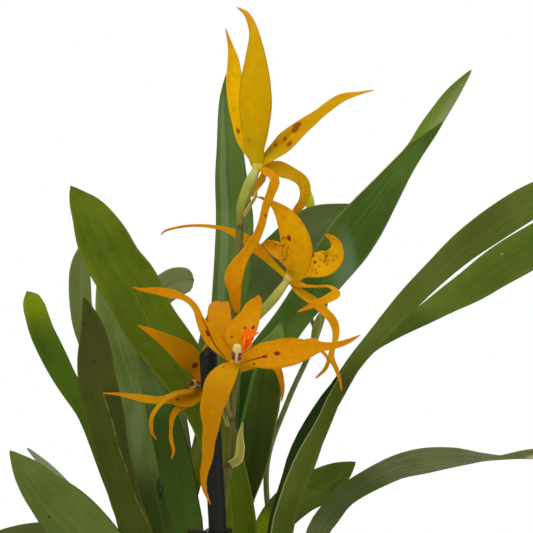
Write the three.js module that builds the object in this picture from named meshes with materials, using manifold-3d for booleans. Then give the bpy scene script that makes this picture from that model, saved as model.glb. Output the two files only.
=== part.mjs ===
// A Brassia-type orchid in bloom: pot, bark, pseudobulbs, strap leaves, two flower spikes, stake and clip.
// Millimetres, +Z up, origin at the centre of the pot's flat bottom. -Y is the side that the blooms face.

import * as THREE from "three";
import { mergeVertices } from "three/addons/utils/BufferGeometryUtils.js";
import Module from "manifold-3d";

const wasm = await Module();
wasm.setup();

// ---------------------------------------------------------------- driving dimensions

const GAP = 0.3;                      // clearance between pieces that touch on the real plant

const POT_HEIGHT = 105;
const POT_RIM_RADIUS = 60;
const POT_FOOT_RADIUS = 44;
const POT_WALL = 2;
const POT_FLOOR = 2.5;
const RIM_BAND = 12;                  // height of the thick band round the top
const RIM_STEP = 2.4;                 // how far the band stands out from the wall
const DRAIN_HOLES = 6;
const DRAIN_RADIUS = 4;
const DRAIN_CIRCLE = 31;

const BARK_TOP = 91;
const BARK_CHIPS = 34;
const CHIP_SEED = 7;
const SLOT_ROOM = 2.6;                // a leaf's slot in the bark is wider than its root by this
const SLOT_DEPTH = 5.2;

const BULB = { width: 28, depth: 18, height: 62, foot: 88 };
const BULB_PLACES = {
  front: [2, 4],
  left: [-28, 2],
  right: [24, -12],
  back_left: [-20, 30],
  back_right: [10, 38],
};

const LEAF_THICKNESS = 1.0;
const TEPAL_THICKNESS = 0.8;
const LEAF_STEPS = 15;
const TEPAL_STEPS = 10;
const TIP_CROWDING = 1.4;            // above 1, a blade's stations crowd towards its tip

const STAKE_RADIUS = 3.5;
const STAKE_FOOT = [2.5, -18, 40];
const STAKE_TOP = [-11, -18, 288];

const CLIP_BOTTOM = 207;
const CLIP_HEIGHT = 9;
const CLIP_WALL = 1.8;
const CLIP_TAB = 7;
const CLIP_TAB_WIDTH = 3;

const STEM_SIDES = 8;
const THIN_STEM_SIDES = 6;

// ---------------------------------------------------------------- colours

const COLOURS = {
  pot: { color: 0x26272a, roughness: 0.62 },
  bark: { color: 0x5b3b25, roughness: 0.95 },
  bulb: { color: 0x6f8f3a, roughness: 0.45 },
  leaf: { color: 0x3f6b26, roughness: 0.42 },
  stem: { color: 0x6a6a34, roughness: 0.5 },
  tepal: { color: 0xeda512, roughness: 0.5 },
  lip: { color: 0xf2b41c, roughness: 0.5 },
  column: { color: 0xf0e2b0, roughness: 0.45 },
  stake: { color: 0x17181b, roughness: 0.4 },
  clip: { color: 0x101114, roughness: 0.35 },
};

// ---------------------------------------------------------------- helpers

const orchid = new THREE.Group();
const vector = (xyz) => new THREE.Vector3(...xyz);
const mix = (a, b, t) => a + (b - a) * t;
const smooth = (t) => t * t * (3 - 2 * t);

function splineThrough(points) {
  const spline = new THREE.CatmullRomCurve3(points.map(vector), false, "centripetal");
  spline.arcLengthDivisions = 120;
  return spline;
}

function addPart(name, geometry, look) {
  const material = new THREE.MeshStandardMaterial({ ...COLOURS[look], metalness: 0 });
  const mesh = new THREE.Mesh(geometry, material);
  mesh.name = name;
  orchid.add(mesh);
}

function toSolid(geometry) {
  const bare = geometry.clone();
  bare.deleteAttribute("normal");
  bare.deleteAttribute("uv");
  const welded = mergeVertices(bare, 1e-4);
  return new wasm.Manifold(new wasm.Mesh({
    numProp: 3,
    vertProperties: Float32Array.from(welded.attributes.position.array),
    triVerts: Uint32Array.from(welded.index.array),
  }));
}

function toGeometry(solid) {
  const mesh = solid.getMesh();
  const geometry = new THREE.BufferGeometry();
  geometry.setAttribute("position", new THREE.BufferAttribute(Float32Array.from(mesh.vertProperties), 3));
  geometry.setIndex(new THREE.BufferAttribute(Uint32Array.from(mesh.triVerts), 1));
  return geometry;
}

const joined = (solids) => solids.reduce((sum, solid) => sum.add(solid));
const cutBy = (solid, cutters) => cutters.reduce((rest, cutter) => rest.subtract(cutter), solid);

// Park-Miller numbers between 0 and 1, the same on every run.
function seededRandom(seed) {
  let state = seed;
  return () => {
    state = (state * 16807) % 2147483647;
    return state / 2147483647;
  };
}

// ---------------------------------------------------------------- blades: leaves, tepals, lips

// Width along a blade: from its root, swelling to full width at `peak`, then closing to the tip.
// How far along a line each of its points lies, 0 to 1.
function sharesOf(points) {
  const reach = [0];
  points.slice(1).forEach((point, index) => {
    reach.push(reach[index] + vector(point).distanceTo(vector(points[index])));
  });
  return reach.map((step) => step / reach.at(-1));
}

// A smooth width at t through the widths that a blade has at the points of its line.
function measuredWidth(t, points, widths) {
  const marks = sharesOf(points);
  const last = marks.length - 1;
  const low = Math.max(0, Math.min(last - 1, marks.findLastIndex((mark) => mark <= t)));
  const slope = (index) => {
    const before = Math.max(index - 1, 0);
    const after = Math.min(index + 1, last);
    return (widths[after] - widths[before]) / (marks[after] - marks[before]);
  };
  const gap = marks[low + 1] - marks[low];
  const share = Math.min(Math.max((t - marks[low]) / gap, 0), 1);
  const bend = share * (1 - share) * gap;
  const width = mix(widths[low], widths[low + 1], smooth(share));
  return Math.max(width + bend * ((1 - share) * slope(low) - share * slope(low + 1)), 0.3);
}

function bladeWidth(t, { points, widths, width, root, peak, tip = 1, blunt = 2.6 }) {
  if (widths) {
    return measuredWidth(t, points, widths);
  }
  if (t < peak) {
    return mix(root, width, smooth(t / peak));
  }
  const past = (t - peak) / (1 - peak);
  return mix(width, tip, Math.pow(past, blunt));
}

// The way a blade's upper face looks at t, blended along the list `faces`.
function faceAt(t, faces) {
  const place = t * (faces.length - 1);
  const low = Math.min(Math.floor(place), faces.length - 2);
  if (faces.length === 1) {
    return vector(faces[0]).normalize();
  }
  return vector(faces[low]).lerp(vector(faces[low + 1]), place - low).normalize();
}

// A closed strap along a spline: two panels meet in a fold `keel` deep, split alike on both faces.
// `grow` makes it larger all round, as the room that a neighbour leaves for it.
function bladeGeometry(blade) {
  const { points, faces, thickness, steps, keel = 0, grow = 0 } = blade;
  const widest = blade.widths ? Math.max(...blade.widths) : blade.width;
  const spline = splineThrough(points);
  const positions = [];
  for (let step = 0; step <= steps; step += 1) {
    const t = 1 - Math.pow(1 - step / steps, TIP_CROWDING);
    const centre = spline.getPointAt(t);
    const along = spline.getTangentAt(t);
    const face = faceAt(t, faces);
    const out = face.addScaledVector(along, -face.dot(along)).normalize();
    const side = new THREE.Vector3().crossVectors(along, out);
    const width = bladeWidth(t, blade) + 2 * grow;
    const fold = keel * Math.min(1, width / widest + 0.15);
    const half = thickness / 2 + grow;
    for (const level of [half, -half]) {
      for (const across of [-1, 0, 1]) {
        const lift = level + fold * (Math.abs(across) - 0.5);
        const corner = centre.clone().addScaledVector(side, across * width / 2).addScaledVector(out, lift);
        positions.push(corner.x, corner.y, corner.z);
      }
    }
  }
  const ring = 6;
  const outline = [0, 1, 2, 5, 4, 3];
  const triangles = [];
  for (let step = 0; step < steps; step += 1) {
    const near = step * ring;
    const far = near + ring;
    outline.forEach((from, index) => {
      const to = outline[(index + 1) % ring];
      const backPanel = index === 3 || index === 4;
      if (backPanel) {
        triangles.push(near + from, near + to, far + to, near + from, far + to, far + from);
      } else {
        triangles.push(near + from, near + to, far + from, near + to, far + to, far + from);
      }
    });
  }
  const last = steps * ring;
  triangles.push(0, 3, 1, 3, 4, 1, 1, 4, 2, 4, 5, 2);
  triangles.push(last, last + 1, last + 3, last + 3, last + 1, last + 4);
  triangles.push(last + 1, last + 2, last + 4, last + 4, last + 2, last + 5);
  const geometry = new THREE.BufferGeometry();
  geometry.setAttribute("position", new THREE.Float32BufferAttribute(positions, 3));
  geometry.setIndex(triangles);
  return geometry;
}

// ---------------------------------------------------------------- stems

function roundSection(radius, sides) {
  const section = new THREE.Shape();
  for (let corner = 0; corner < sides; corner += 1) {
    const angle = (corner / sides) * 2 * Math.PI;
    const method = corner === 0 ? "moveTo" : "lineTo";
    section[method](radius * Math.cos(angle), radius * Math.sin(angle));
  }
  section.closePath();
  return section;
}

function stemSolid(points, radius, steps, sides = STEM_SIDES) {
  const extrudePath = splineThrough(points);
  const section = roundSection(radius, sides);
  return toSolid(new THREE.ExtrudeGeometry(section, { steps, extrudePath, bevelEnabled: false }));
}

function ballSolid(centre, radius) {
  const ball = new THREE.SphereGeometry(radius, 8, 6);
  ball.translate(...centre);
  return toSolid(ball);
}

// ---------------------------------------------------------------- pot and bark

// The pot's inner radius at a height, for its tapered wall.
function innerRadius(height) {
  const wallTop = POT_HEIGHT - 1;
  return mix(POT_FOOT_RADIUS, POT_RIM_RADIUS - RIM_STEP, height / wallTop) - POT_WALL;
}

function turned(profile, segments) {
  const geometry = new THREE.LatheGeometry(profile.map(([r, z]) => new THREE.Vector2(r, z)), segments);
  geometry.rotateX(Math.PI / 2);
  return toSolid(geometry);
}

function buildPot() {
  const bandFoot = POT_HEIGHT - RIM_BAND;
  const wallAtBand = innerRadius(bandFoot) + POT_WALL;
  const profile = [
    [0, 0],
    [POT_FOOT_RADIUS - 1, 0],
    [POT_FOOT_RADIUS, 1],
    [wallAtBand, bandFoot],
    [POT_RIM_RADIUS - 0.6, bandFoot + 0.8],
    [POT_RIM_RADIUS, POT_HEIGHT - 2],
    [POT_RIM_RADIUS - 0.8, POT_HEIGHT],
    [innerRadius(POT_HEIGHT) + 1, POT_HEIGHT],
    [innerRadius(POT_HEIGHT), POT_HEIGHT - 1],
    [innerRadius(POT_FLOOR), POT_FLOOR],
    [0, POT_FLOOR],
  ];
  const drains = [];
  for (let hole = 0; hole < DRAIN_HOLES; hole += 1) {
    const angle = (hole / DRAIN_HOLES) * 2 * Math.PI;
    const drain = new THREE.CylinderGeometry(DRAIN_RADIUS, DRAIN_RADIUS, 3 * POT_FLOOR, 12);
    drain.rotateX(Math.PI / 2);
    drain.translate(DRAIN_CIRCLE * Math.cos(angle), DRAIN_CIRCLE * Math.sin(angle), POT_FLOOR / 2);
    drains.push(toSolid(drain));
  }
  addPart("pot", toGeometry(cutBy(turned(profile, 40), drains)), "pot");
}

// The space inside the pot up to `top`, just clear of its wall.
function fillSolid(top) {
  const clear = GAP + 0.1;
  return turned([
    [0, POT_FLOOR + GAP],
    [innerRadius(POT_FLOOR) - clear, POT_FLOOR + GAP],
    [innerRadius(top) - clear, top],
    [0, top],
  ], 28);
}

function chipSolids() {
  const random = seededRandom(CHIP_SEED);
  const chips = [];
  for (let chip = 0; chip < BARK_CHIPS; chip += 1) {
    const spread = Math.sqrt((chip + 0.5) / BARK_CHIPS);
    const angle = chip * Math.PI * (3 - Math.sqrt(5));
    const box = new THREE.BoxGeometry(12 + 9 * random(), 8 + 5 * random(), 6 + 3 * random());
    box.rotateX(0.7 * (random() - 0.5));
    box.rotateY(0.7 * (random() - 0.5));
    box.rotateZ(2 * Math.PI * random());
    const reach = spread * (innerRadius(BARK_TOP) - 8);
    box.translate(reach * Math.cos(angle), reach * Math.sin(angle), BARK_TOP - 1.5 + 2 * random());
    chips.push(toSolid(box));
  }
  return chips;
}

// A round-ended hole through the top of the bark for a flat leaf base.
function slotSolid([x, y], width) {
  const slot = new THREE.CylinderGeometry(0.5, 0.5, 40, 12);
  slot.rotateX(Math.PI / 2);
  slot.scale(width + SLOT_ROOM, SLOT_DEPTH, 1);
  slot.translate(x, y, BULB.foot - GAP + 20);
  return toSolid(slot);
}

// ---------------------------------------------------------------- pseudobulbs

function bulbSolid([x, y], grow = 0) {
  const outline = [
    [0, 0], [0.52, 0.02], [0.82, 0.12], [0.98, 0.28], [1, 0.45],
    [0.9, 0.64], [0.66, 0.83], [0.34, 0.96], [0, 1],
  ];
  const shape = outline.map(([r, z]) => new THREE.Vector2(r, z));
  const geometry = new THREE.LatheGeometry(shape, 14);
  geometry.rotateX(Math.PI / 2);
  geometry.scale(BULB.width / 2 + grow, BULB.depth / 2 + grow, BULB.height + 2 * grow);
  geometry.translate(x, y, BULB.foot - grow);
  return toSolid(geometry);
}

// ---------------------------------------------------------------- leaves

// Each leaf: its root's carrier, its centreline from root to tip, full width, and the way its face looks.
// A leaf with the carrier "bark" sheathes a bulb's foot; the others grow from the top of the bulb named.
const LEAVES = {
  front_broad: {
    on: "front", keel: 3, faces: [[0, -1, 0], [0.1, -1, 0.15]],
    points: [[0, 7, 144], [1, 7, 180], [-1.5, 6, 212.5], [-2.5, 6.5, 226], [-4, 7, 236], [-6, 7, 246],
      [-11, 7, 260], [-17.5, 7, 273], [-27, 6, 286.5], [-35.5, 4, 298.5], [-43, 2, 313], [-48.5, 0, 320.5],
      [-54, -3, 331.5], [-59, -6, 341.5], [-62.5, -8, 346.5], [-65.5, -11, 352]],
    widths: [9, 15, 19.5, 18, 16.5, 16, 17, 20, 21.7, 22, 23, 22, 20.7, 14.7, 9.2, 1],
  },
  right_long: {
    on: "right", keel: 2.5,
    faces: [[-0.2, -1, 0], [-0.2, -1, 0], [-0.2, -1, 0.1], [-0.3, -1, 0.1], [-0.5, -0.75, 0.5],
      [-0.3, -1, 0.3], [-0.3, -1, 0.4], [-0.3, -1, 0.4], [-0.4, -0.8, 0.4]],
    points: [[22, -9, 144], [18, -5, 185], [17.5, -4, 214], [20.5, -5, 226], [23.5, -6, 235], [26, -7, 242.5],
      [30, -8, 252.5], [34, -9, 260], [37, -10, 266], [41.5, -10.5, 272.5], [47, -11, 281.5],
      [53.5, -12, 289.5], [58.5, -12, 295.5], [69, -13, 307.5], [79.5, -14, 318], [90, -15, 327.5],
      [99.4, -16, 334.5], [106.5, -17, 339.4], [117, -18, 345.8], [136.4, -19, 355.2], [154, -20, 361]],
    widths: [8, 9.5, 10.6, 10.8, 11.2, 12.2, 11.4, 10.6, 9.4, 8.6, 8, 8, 8.4, 9.8, 11, 13.2, 14.6, 15, 14.4,
      9, 1],
  },
  right_second: {
    on: "front", keel: 2,
    faces: [[-0.2, -1, 0], [-0.3, -0.9, 0.3], [-0.3, -0.8, 0.5]],
    points: [[7, 0, 144], [14, 3, 180], [17.5, 4, 213], [20.5, 4, 225], [26, 4, 241.5], [34, 4, 258.5],
      [42, 4, 272], [47.5, 4, 280.5], [54, 4, 287.5], [60, 4, 291.5], [66.5, 4, 295.5], [74, 4, 299.5],
      [84.5, 4, 306], [94.5, 4, 312], [104.5, 4, 319], [114.5, 4, 325], [130, 4, 334], [146, 4, 341],
      [162, 4, 347]],
    widths: [8, 8, 8, 8, 8, 7, 5.6, 5, 5, 6, 7.2, 8.6, 11.9, 15.2, 17.6, 19, 17.4, 12, 1],
  },
  right_low: {
    on: "right", keel: 1.5,
    faces: [[0, -1, 0.2], [0, -1, 0.2], [0, -1, 0.2], [-0.1, -1, 0.2], [-0.2, -1, 0.3], [-0.2, -1, 0.3],
      [-0.2, -1, 0.3], [-0.1, -1, 0.2], [0, -1, 0.3], [0, -0.7, 0.75], [0, -0.02, 1], [0, 0.55, 0.85],
      [0, 0.6, 0.8]],
    points: [[27, -14, 144], [29, -14, 180], [32, -13, 214.5], [37, -11, 222], [42, -11, 228.5],
      [48, -10, 232.5], [57, -10, 237.5], [65, -10, 241], [74.5, -10, 243], [86.5, -10, 244],
      [96.5, -10, 244], [100.5, -11, 244.5], [108, -11, 245], [117.5, -12, 245.5], [124, -12, 246],
      [132, -12, 247]],
    widths: [8, 9, 9, 9.4, 9.2, 9, 9.6, 10, 10.6, 10.4, 10, 9.8, 9.4, 8.6, 6, 1],
  },
  right_back_low: {
    on: "bark", keel: 2, faces: [[0, -1, 0], [-0.2, -1, 0.5]],
    points: [[14, 27, 88], [14, 27, 150], [13, 28, 210], [18, 29, 219], [26, 30, 226], [35, 31, 230],
      [43, 31, 235], [49, 32, 239]],
    widths: [8, 9.5, 12, 13, 14, 14.2, 9.5, 1],
  },
  right_dark: {
    on: "bark", keel: 2.5, faces: [[0, -1, 0], [0.1, -1, 0.1]],
    points: [[4, 18, 88], [4, 18, 150], [0, 18, 212], [1.5, 18, 225], [5, 18, 237], [6.5, 18, 245],
      [7.5, 18, 253.5], [9, 18, 265.5], [10, 18, 277.5], [12.5, 18, 284], [16, 18, 291], [18, 18, 297.5]],
    widths: [8, 10, 10, 11, 13, 14.5, 15.5, 17.3, 17, 12.8, 6.5, 1],
  },
  right_tall: {
    on: "back_right", keel: 2.5,
    faces: [[0, -1, 0], [-0.1, -1, 0], [-0.3, -1, 0.2], [-0.3, -1, 0.2], [0.1, -1, 0]],
    points: [[7, 35, 144], [4, 37, 180], [-1, 38, 209], [0, 41, 235], [2, 44, 251], [10.5, 48, 276],
      [22.5, 52, 297], [35.5, 54, 314], [46.5, 55, 329], [52.5, 55, 337.5], [57, 57, 344], [63.5, 58, 353],
      [69.5, 59, 361.5], [75.5, 60, 369.5], [80.5, 60, 377.5], [86, 60, 386], [91.5, 60, 394],
      [99.5, 60, 404]],
    widths: [9, 12, 14, 15, 15, 14, 14.6, 17.8, 20.2, 19.8, 18, 14, 10.4, 8, 8.4, 7.4, 6, 1],
  },
  right_tall_behind: {
    on: "back_right", keel: 2, faces: [[0, -1, 0], [-0.2, -1, 0.3]],
    points: [[13, 42, 144], [8, 45, 170], [2, 49, 200], [-7, 55, 242], [-9, 61, 276], [-4, 68, 296],
      [7, 73, 312], [20, 75, 326], [34, 75, 339], [47, 75, 347]],
    widths: [8, 9.5, 12, 16, 19, 20, 20, 20, 15, 1],
  },
  left_far: {
    on: "bark", keel: 1.5, faces: [[0, -1, 0.1]],
    points: [[-35, 14, 88], [-36, 14, 150], [-44, 15, 215], [-52, 15, 239], [-60.5, 15, 261],
      [-65, 15, 267.5], [-69, 15, 273], [-73, 15, 280.5], [-76.5, 15, 287.5], [-79.5, 15, 294],
      [-82, 15, 302], [-83.5, 15, 306.5], [-85.5, 15, 310]],
    widths: [7, 8, 9, 9.4, 9.6, 9.4, 9.2, 10.2, 10.4, 10, 9.2, 7.8, 1.6],
  },
  left_pointed: {
    on: "left", keel: 3.5, faces: [[0, -1, 0.1]],
    points: [[-28, -1, 144], [-32, -11, 186], [-38.5, -14, 215], [-43.5, -14, 228], [-46, -14, 238],
      [-49, -14, 248.5], [-51, -14, 259], [-53.5, -14, 269.5], [-55, -14, 279], [-55.5, -14, 286.5],
      [-56, -14, 292.5], [-57, -14, 298], [-58.5, -14, 303.5], [-60, -14, 308]],
    widths: [8, 10, 11.5, 12, 12.4, 13.4, 15, 15.6, 14.8, 13.4, 11, 8, 4.4, 1],
  },
  left_mid: {
    on: "bark", width: 21, root: 8, peak: 0.7, blunt: 2.6, keel: 2, faces: [[0, -1, 0], [0.2, -1, 0.1]],
    points: [[-24, 18, 88], [-25, 20, 150], [-30, 25, 210], [-35.5, 25, 236], [-40.5, 25, 261],
      [-46, 25, 280], [-52, 25, 298], [-57, 25, 318]],
  },
  left_inner: {
    on: "left", keel: 1.5, faces: [[0, -1, 0.1]],
    points: [[-25, 5, 144], [-21, 9, 185], [-19.5, 10, 213], [-22, 10, 225], [-24.5, 10, 238], [-28, 10, 252],
      [-32, 10, 266], [-36, 10, 280], [-41, 10, 296]],
    widths: [7, 9, 12, 13.4, 13.8, 13, 11, 8, 1],
  },
  left_low: {
    on: "bark", keel: 2.5, faces: [[0, -1, 0], [0.3, -1, 0.5]],
    points: [[-37, -11, 88], [-37, -13, 150], [-40, -17, 185], [-48, -20, 203], [-60, -20, 217],
      [-68, -20, 224.5], [-72, -20, 228.5], [-76.5, -20, 233], [-80, -20, 237.5], [-83, -20, 241],
      [-88.5, -20, 248]],
    widths: [8, 12, 16, 19.5, 21.8, 21.9, 19.8, 16.6, 14, 10.8, 1],
  },
  left_low_behind: {
    on: "bark", width: 9, root: 6, peak: 0.6, blunt: 2.6, keel: 1, faces: [[0, -1, 0], [0.2, -1, 0.4]],
    points: [[-39, 26, 88], [-38, 27, 150], [-54, 30, 200], [-67, 30, 222], [-77, 30, 235], [-87, 30, 245]],
  },
  left_corner: {
    on: "bark", width: 15, root: 8, peak: 0.55, blunt: 2.4, keel: 1.5,
    faces: [[0, -1, 0.2], [0.3, -1, 0.6], [-0.2, -0.9, 1]],
    points: [[-48, 2, 88], [-48, 3, 150], [-52, 6, 190], [-60, 9, 203], [-72, 10, 210], [-86, 10, 211],
      [-100, 10, 208], [-116, 10, 197]],
  },
  back_grey: {
    on: "back_left", keel: 1.5, faces: [[0, -1, 0.1]],
    points: [[-24, 33, 144], [-34, 37, 180], [-37, 40, 209], [-44, 45, 230], [-54, 54, 259], [-62, 60, 284],
      [-66, 62, 295], [-67.5, 64, 303.5], [-68, 65, 312], [-68, 65, 319.5], [-67, 65, 326], [-65.5, 65, 331]],
    widths: [8, 8.5, 9, 9, 9.5, 9.6, 9.6, 9.6, 9.6, 8.4, 5.4, 1],
  },
  back_round: {
    on: "bark", keel: 1.2, faces: [[0, -1, 0], [0, -1, 0.1], [0, -1, 0.1], [0, -1, 0.15]],
    points: [[-22, 43, 88], [-23, 44, 150], [-24, 54, 234], [-30, 64, 268], [-36, 72, 288], [-38.5, 77, 299],
      [-36.5, 79, 306], [-32, 80, 310.5], [-26.5, 80, 313.5], [-19.5, 80, 314]],
    widths: [7, 9, 10, 10.5, 11, 12, 13, 13, 13, 9],
  },
  back_upright: {
    on: "back_left", keel: 2, faces: [[0, -1, 0], [0.1, -1, 0]],
    points: [[-16, 27, 144], [-19, 29, 180], [-22, 32, 210], [-20, 35, 228], [-15.5, 39, 240], [-11, 42, 256],
      [-7, 43, 275], [-4, 45, 300], [-2, 47, 325], [-1.5, 48, 340], [-3, 48, 357], [-3.5, 48, 369],
      [-5, 48, 390], [-4.5, 48, 402]],
    widths: [8, 8.5, 8.5, 8.5, 9.5, 11.5, 13.5, 15, 16, 15.8, 13.5, 11.3, 6, 1],
  },
};

const SHEATH_ROOTS = Object.values(LEAVES).filter((leaf) => leaf.on === "bark");

function leafSolid(leaf) {
  const blade = toSolid(bladeGeometry({ ...leaf, thickness: LEAF_THICKNESS, steps: LEAF_STEPS }));
  return leaf.on === "bark" ? blade : blade.subtract(bulbSolid(BULB_PLACES[leaf.on], GAP));
}

// ---------------------------------------------------------------- blooms

const HUB_RADIUS = 2.3;

// Every bloom: its centre, the five tepals, the lip and the column, all starting at the centre.
const BLOOMS = {
  top: {
    centre: [8.5, -2, 360],
    tepals: [
      { keel: 2, faces: [[0, 1, 0.1], [0.1, 1, 0], [0.3, 1, -0.2]],
        points: [[7.5, -6, 366.5], [7.5, -10, 373], [7.5, -12.5, 384], [7.5, -13, 394.5], [7.5, -12, 404],
          [7, -10, 412], [5.5, -7, 417.5], [3.5, -5, 421], [0, -3, 423.5]],
        widths: [5, 7.6, 10.6, 12.8, 11.4, 7.8, 4.2, 3, 2, 0.4] },
      { keel: 1.2, faces: [[0.2, -1, 0]],
        points: [[2.5, 0, 370.5], [1.5, 1.5, 376.5], [0, 3.5, 385.5], [-1, 5, 395], [-1.5, 6, 403.5],
          [-2.5, 6, 408.5], [-4.5, 6, 416]],
        widths: [2.6, 5, 6.4, 7.2, 6.8, 4.6, 2.4, 0.4] },
      { keel: 1, faces: [[-0.3, -0.9, 0.5]],
        points: [[15.5, -3, 366], [19, -4.5, 369], [23.5, -5.5, 373], [28.5, -6.5, 377], [33, -7, 380.5],
          [37.5, -7, 384], [42.5, -7, 387], [48, -7, 388.5], [54.5, -7, 390]],
        widths: [2.6, 7.6, 9.8, 8.8, 6.8, 5, 5, 4.2, 2, 0.4] },
      { keel: 0.6, faces: [[0, -1, 0.3], [0.3, -1, 0.2], [0.8, -0.6, -0.2]],
        points: [[17, 1, 359], [22.5, 4, 357], [26.5, 7, 354], [27.5, 9, 350], [26.5, 10.5, 346],
          [24, 11, 343], [21.5, 11, 340.5]],
        widths: [3, 6.6, 5.6, 5.6, 5.2, 4.8, 3.6, 1.2] },
      { keel: 0.6, faces: [[0.5, -1, 0], [0.6, -0.8, 0], [0.9, -0.5, 0.2], [0.3, -1, 0], [-0.3, -1, 0]],
        points: [[15, -6, 355], [13.5, -8.5, 349], [11.5, -10.5, 343.5], [10, -12, 337], [7.5, -13, 331],
          [4, -14, 325.5], [1, -14, 321], [-1, -14, 315.5], [-0.5, -13, 310.5], [0, -12, 305.5],
          [0.5, -11, 301.5]],
        widths: [2.4, 4.8, 4.4, 4.4, 4.8, 5.4, 4.6, 6.2, 7.4, 5, 3.8, 2] },
    ],
    lip: { keel: 0.8, faces: [[-0.8, -0.5, -0.3]],
      points: [[11, 5, 357], [8.8, 9.5, 353], [5.8, 13, 348.5]],
      widths: [2.4, 3.4, 3.6, 1.8] },
    column: { girth: 1.4, points: [[11, 4, 361.5], [12, 8, 360]] },
  },
  right: {
    centre: [21, 8, 315],
    tepals: [
      { keel: 1.5, faces: [[0.2, -1, 0.1], [0.2, -0.9, 0.5]],
        points: [[24, 4, 317.5], [24.5, 1, 323.5], [23.5, -1, 329.5], [21.5, -2, 335.5], [18.5, -1.5, 341],
          [14.5, 0, 345], [11, 1, 347], [8, 1.5, 348]],
        widths: [3.2, 8, 11.8, 12.6, 11, 7.2, 3, 1.6, 0.4] },
      { keel: 0.8, faces: [[0.2, -1, 0.2]],
        points: [[15, 6, 320.5], [9.5, 4.5, 326], [4, 4.5, 330.5], [-1, 5, 333.5], [-6.5, 6, 335.5],
          [-17, 8, 336.5], [-25, 7.5, 335.5], [-29.5, 7, 334], [-30.5, 6, 332.5]],
        widths: [2, 2.8, 4.4, 4.8, 3, 1.8, 1.2, 1, 0.8, 0.4] },
      { keel: 1, faces: [[-0.2, -1, 0.4], [-0.4, -1, 0], [0, -1, -0.5]],
        points: [[27, 5, 318], [31, 2, 320], [36, 1, 321.5], [39, -1, 324], [40, -2, 328],
          [38.5, -1, 331], [35.5, 0, 333]],
        widths: [2.4, 5.6, 9.6, 10.4, 8, 4.6, 3, 1] },
      { keel: 0.5, faces: [[0, -0.6, 1], [0, -0.3, 1], [0.6, -0.6, 0.6], [0.3, -0.8, 0.5]],
        points: [[25.5, 3, 312.5], [31.5, -3, 312], [37, -8, 312], [39.5, -12, 309.5], [36.5, -14, 307.5],
          [31, -14, 305], [24, -13, 302]],
        widths: [2.6, 4.6, 2.6, 3.2, 3.8, 3.6, 2.8, 0.6] },
      { keel: 0.6, faces: [[0.3, -1, 0.5], [0.3, -1, 0.2]],
        points: [[25, 5, 310], [30.5, 3, 306], [35, 0, 302], [38.5, -3, 298], [39.5, -5, 294],
          [39, -7, 290], [38, -9, 287], [37.5, -11, 284], [39.5, -14, 279.5], [41, -16, 274.5],
          [41.5, -17, 271]],
        widths: [2, 3.6, 4.2, 4, 4, 3.2, 2.2, 2.2, 2.6, 2, 1.2, 0.4] },
    ],
    lip: { keel: 2, faces: [[0.1, -1, 0.6]],
      points: [[22, 13, 319.5], [17.5, 18, 325.5], [13, 20.5, 328.5], [10.3, 21, 329.5]],
      widths: [2.4, 4.8, 7.4, 5, 0.8] },
    column: { girth: 1.4, points: [[23, 12, 319], [24.5, 15.5, 322]] },
  },
  front: {
    centre: [0, -30, 282.5],
    tepals: [
      { keel: 1.5, faces: [[-0.3, -1, 0.4], [-0.2, -1, 0.1], [-0.1, -1, -0.3]],
        points: [[-2.5, -34, 280.5], [-5.5, -38, 276], [-7.5, -41, 270], [-9, -42, 265], [-9, -41.5, 259.5],
          [-10, -40, 253.5], [-10.5, -38, 247], [-12, -36, 240.5], [-12, -34.5, 235], [-9.5, -32, 228]],
        widths: [4, 8.4, 11.6, 10.6, 9, 6.8, 5.2, 4.2, 3, 1.8, 0.4] },
      { keel: 0.8, faces: [[-0.2, -1, 0.2]],
        points: [[-3.5, -31.5, 286.5], [-8, -33, 291], [-11, -34, 295.5], [-13.5, -34, 299.5],
          [-15, -33.5, 303.5], [-17.5, -33, 306.5], [-21, -32, 308.5], [-25, -31, 309.5],
          [-30.5, -30, 310.5], [-36, -29, 311], [-40, -28, 312]],
        widths: [2.4, 4, 6, 5.8, 3.4, 2.6, 2.4, 2.6, 3.6, 2.8, 1.4, 0.4] },
      { keel: 1, faces: [[0, -1, 0.3]],
        points: [[5.5, -32.5, 284.5], [10.5, -34.5, 285.5], [15.5, -35.5, 286], [21, -35.5, 286.5],
          [26, -34, 287.5], [29.5, -32.5, 289], [33.5, -31, 289], [38.5, -30, 289.5], [43.5, -29, 291],
          [48.5, -28, 293.5]],
        widths: [2.4, 6.6, 10.2, 11, 9.8, 7.8, 7.2, 4, 2.8, 2, 0.4] },
      { keel: 0.8, faces: [[-0.5, -1, 0], [-0.4, -0.8, 0.6], [0, -0.4, 1]],
        points: [[-2.5, -26, 291], [-5, -22, 296], [-6.5, -17, 301], [-6.5, -13, 304.5], [-5.5, -9, 306]],
        widths: [2.4, 4.6, 8.2, 9.4, 8.2, 5.6] },
      { keel: 0.5, faces: [[0, -1, 0.6], [0, -0.8, 0.8], [0.7, -0.5, 0.5], [0.9, -0.3, 0]],
        points: [[8.5, -22, 286.5], [17.5, -17, 290], [26.5, -16, 290], [32, -18.5, 288],
          [36, -21.5, 284], [35, -24, 280.5], [31, -26, 276.5]],
        widths: [2, 3.6, 4, 3.6, 3.2, 2.6, 2.2, 0.6] },
    ],
    lip: { keel: 1.4, faces: [[0, -1, 0]],
      points: [[1.2, -31, 288.8], [1.6, -31.5, 293.4], [5, -30.5, 299.5], [7, -28.5, 304], [8.5, -27, 307],
        [9, -26, 309]],
      widths: [2.4, 7.6, 11.6, 8.8, 6.6, 3.6, 0.6] },
    column: { girth: 2, points: [[0.5, -36, 285], [0.8, -40, 289]] },
  },
  left: {
    centre: [-12.5, -8, 272.5],
    tepals: [
      { keel: 1, faces: [[-0.3, -1, 0.4]],
        points: [[-15.5, -11.5, 280.5], [-19.5, -14, 285], [-24, -16, 288.5], [-29.5, -17, 292],
          [-34.5, -17.5, 295], [-38.5, -18, 297]],
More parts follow.
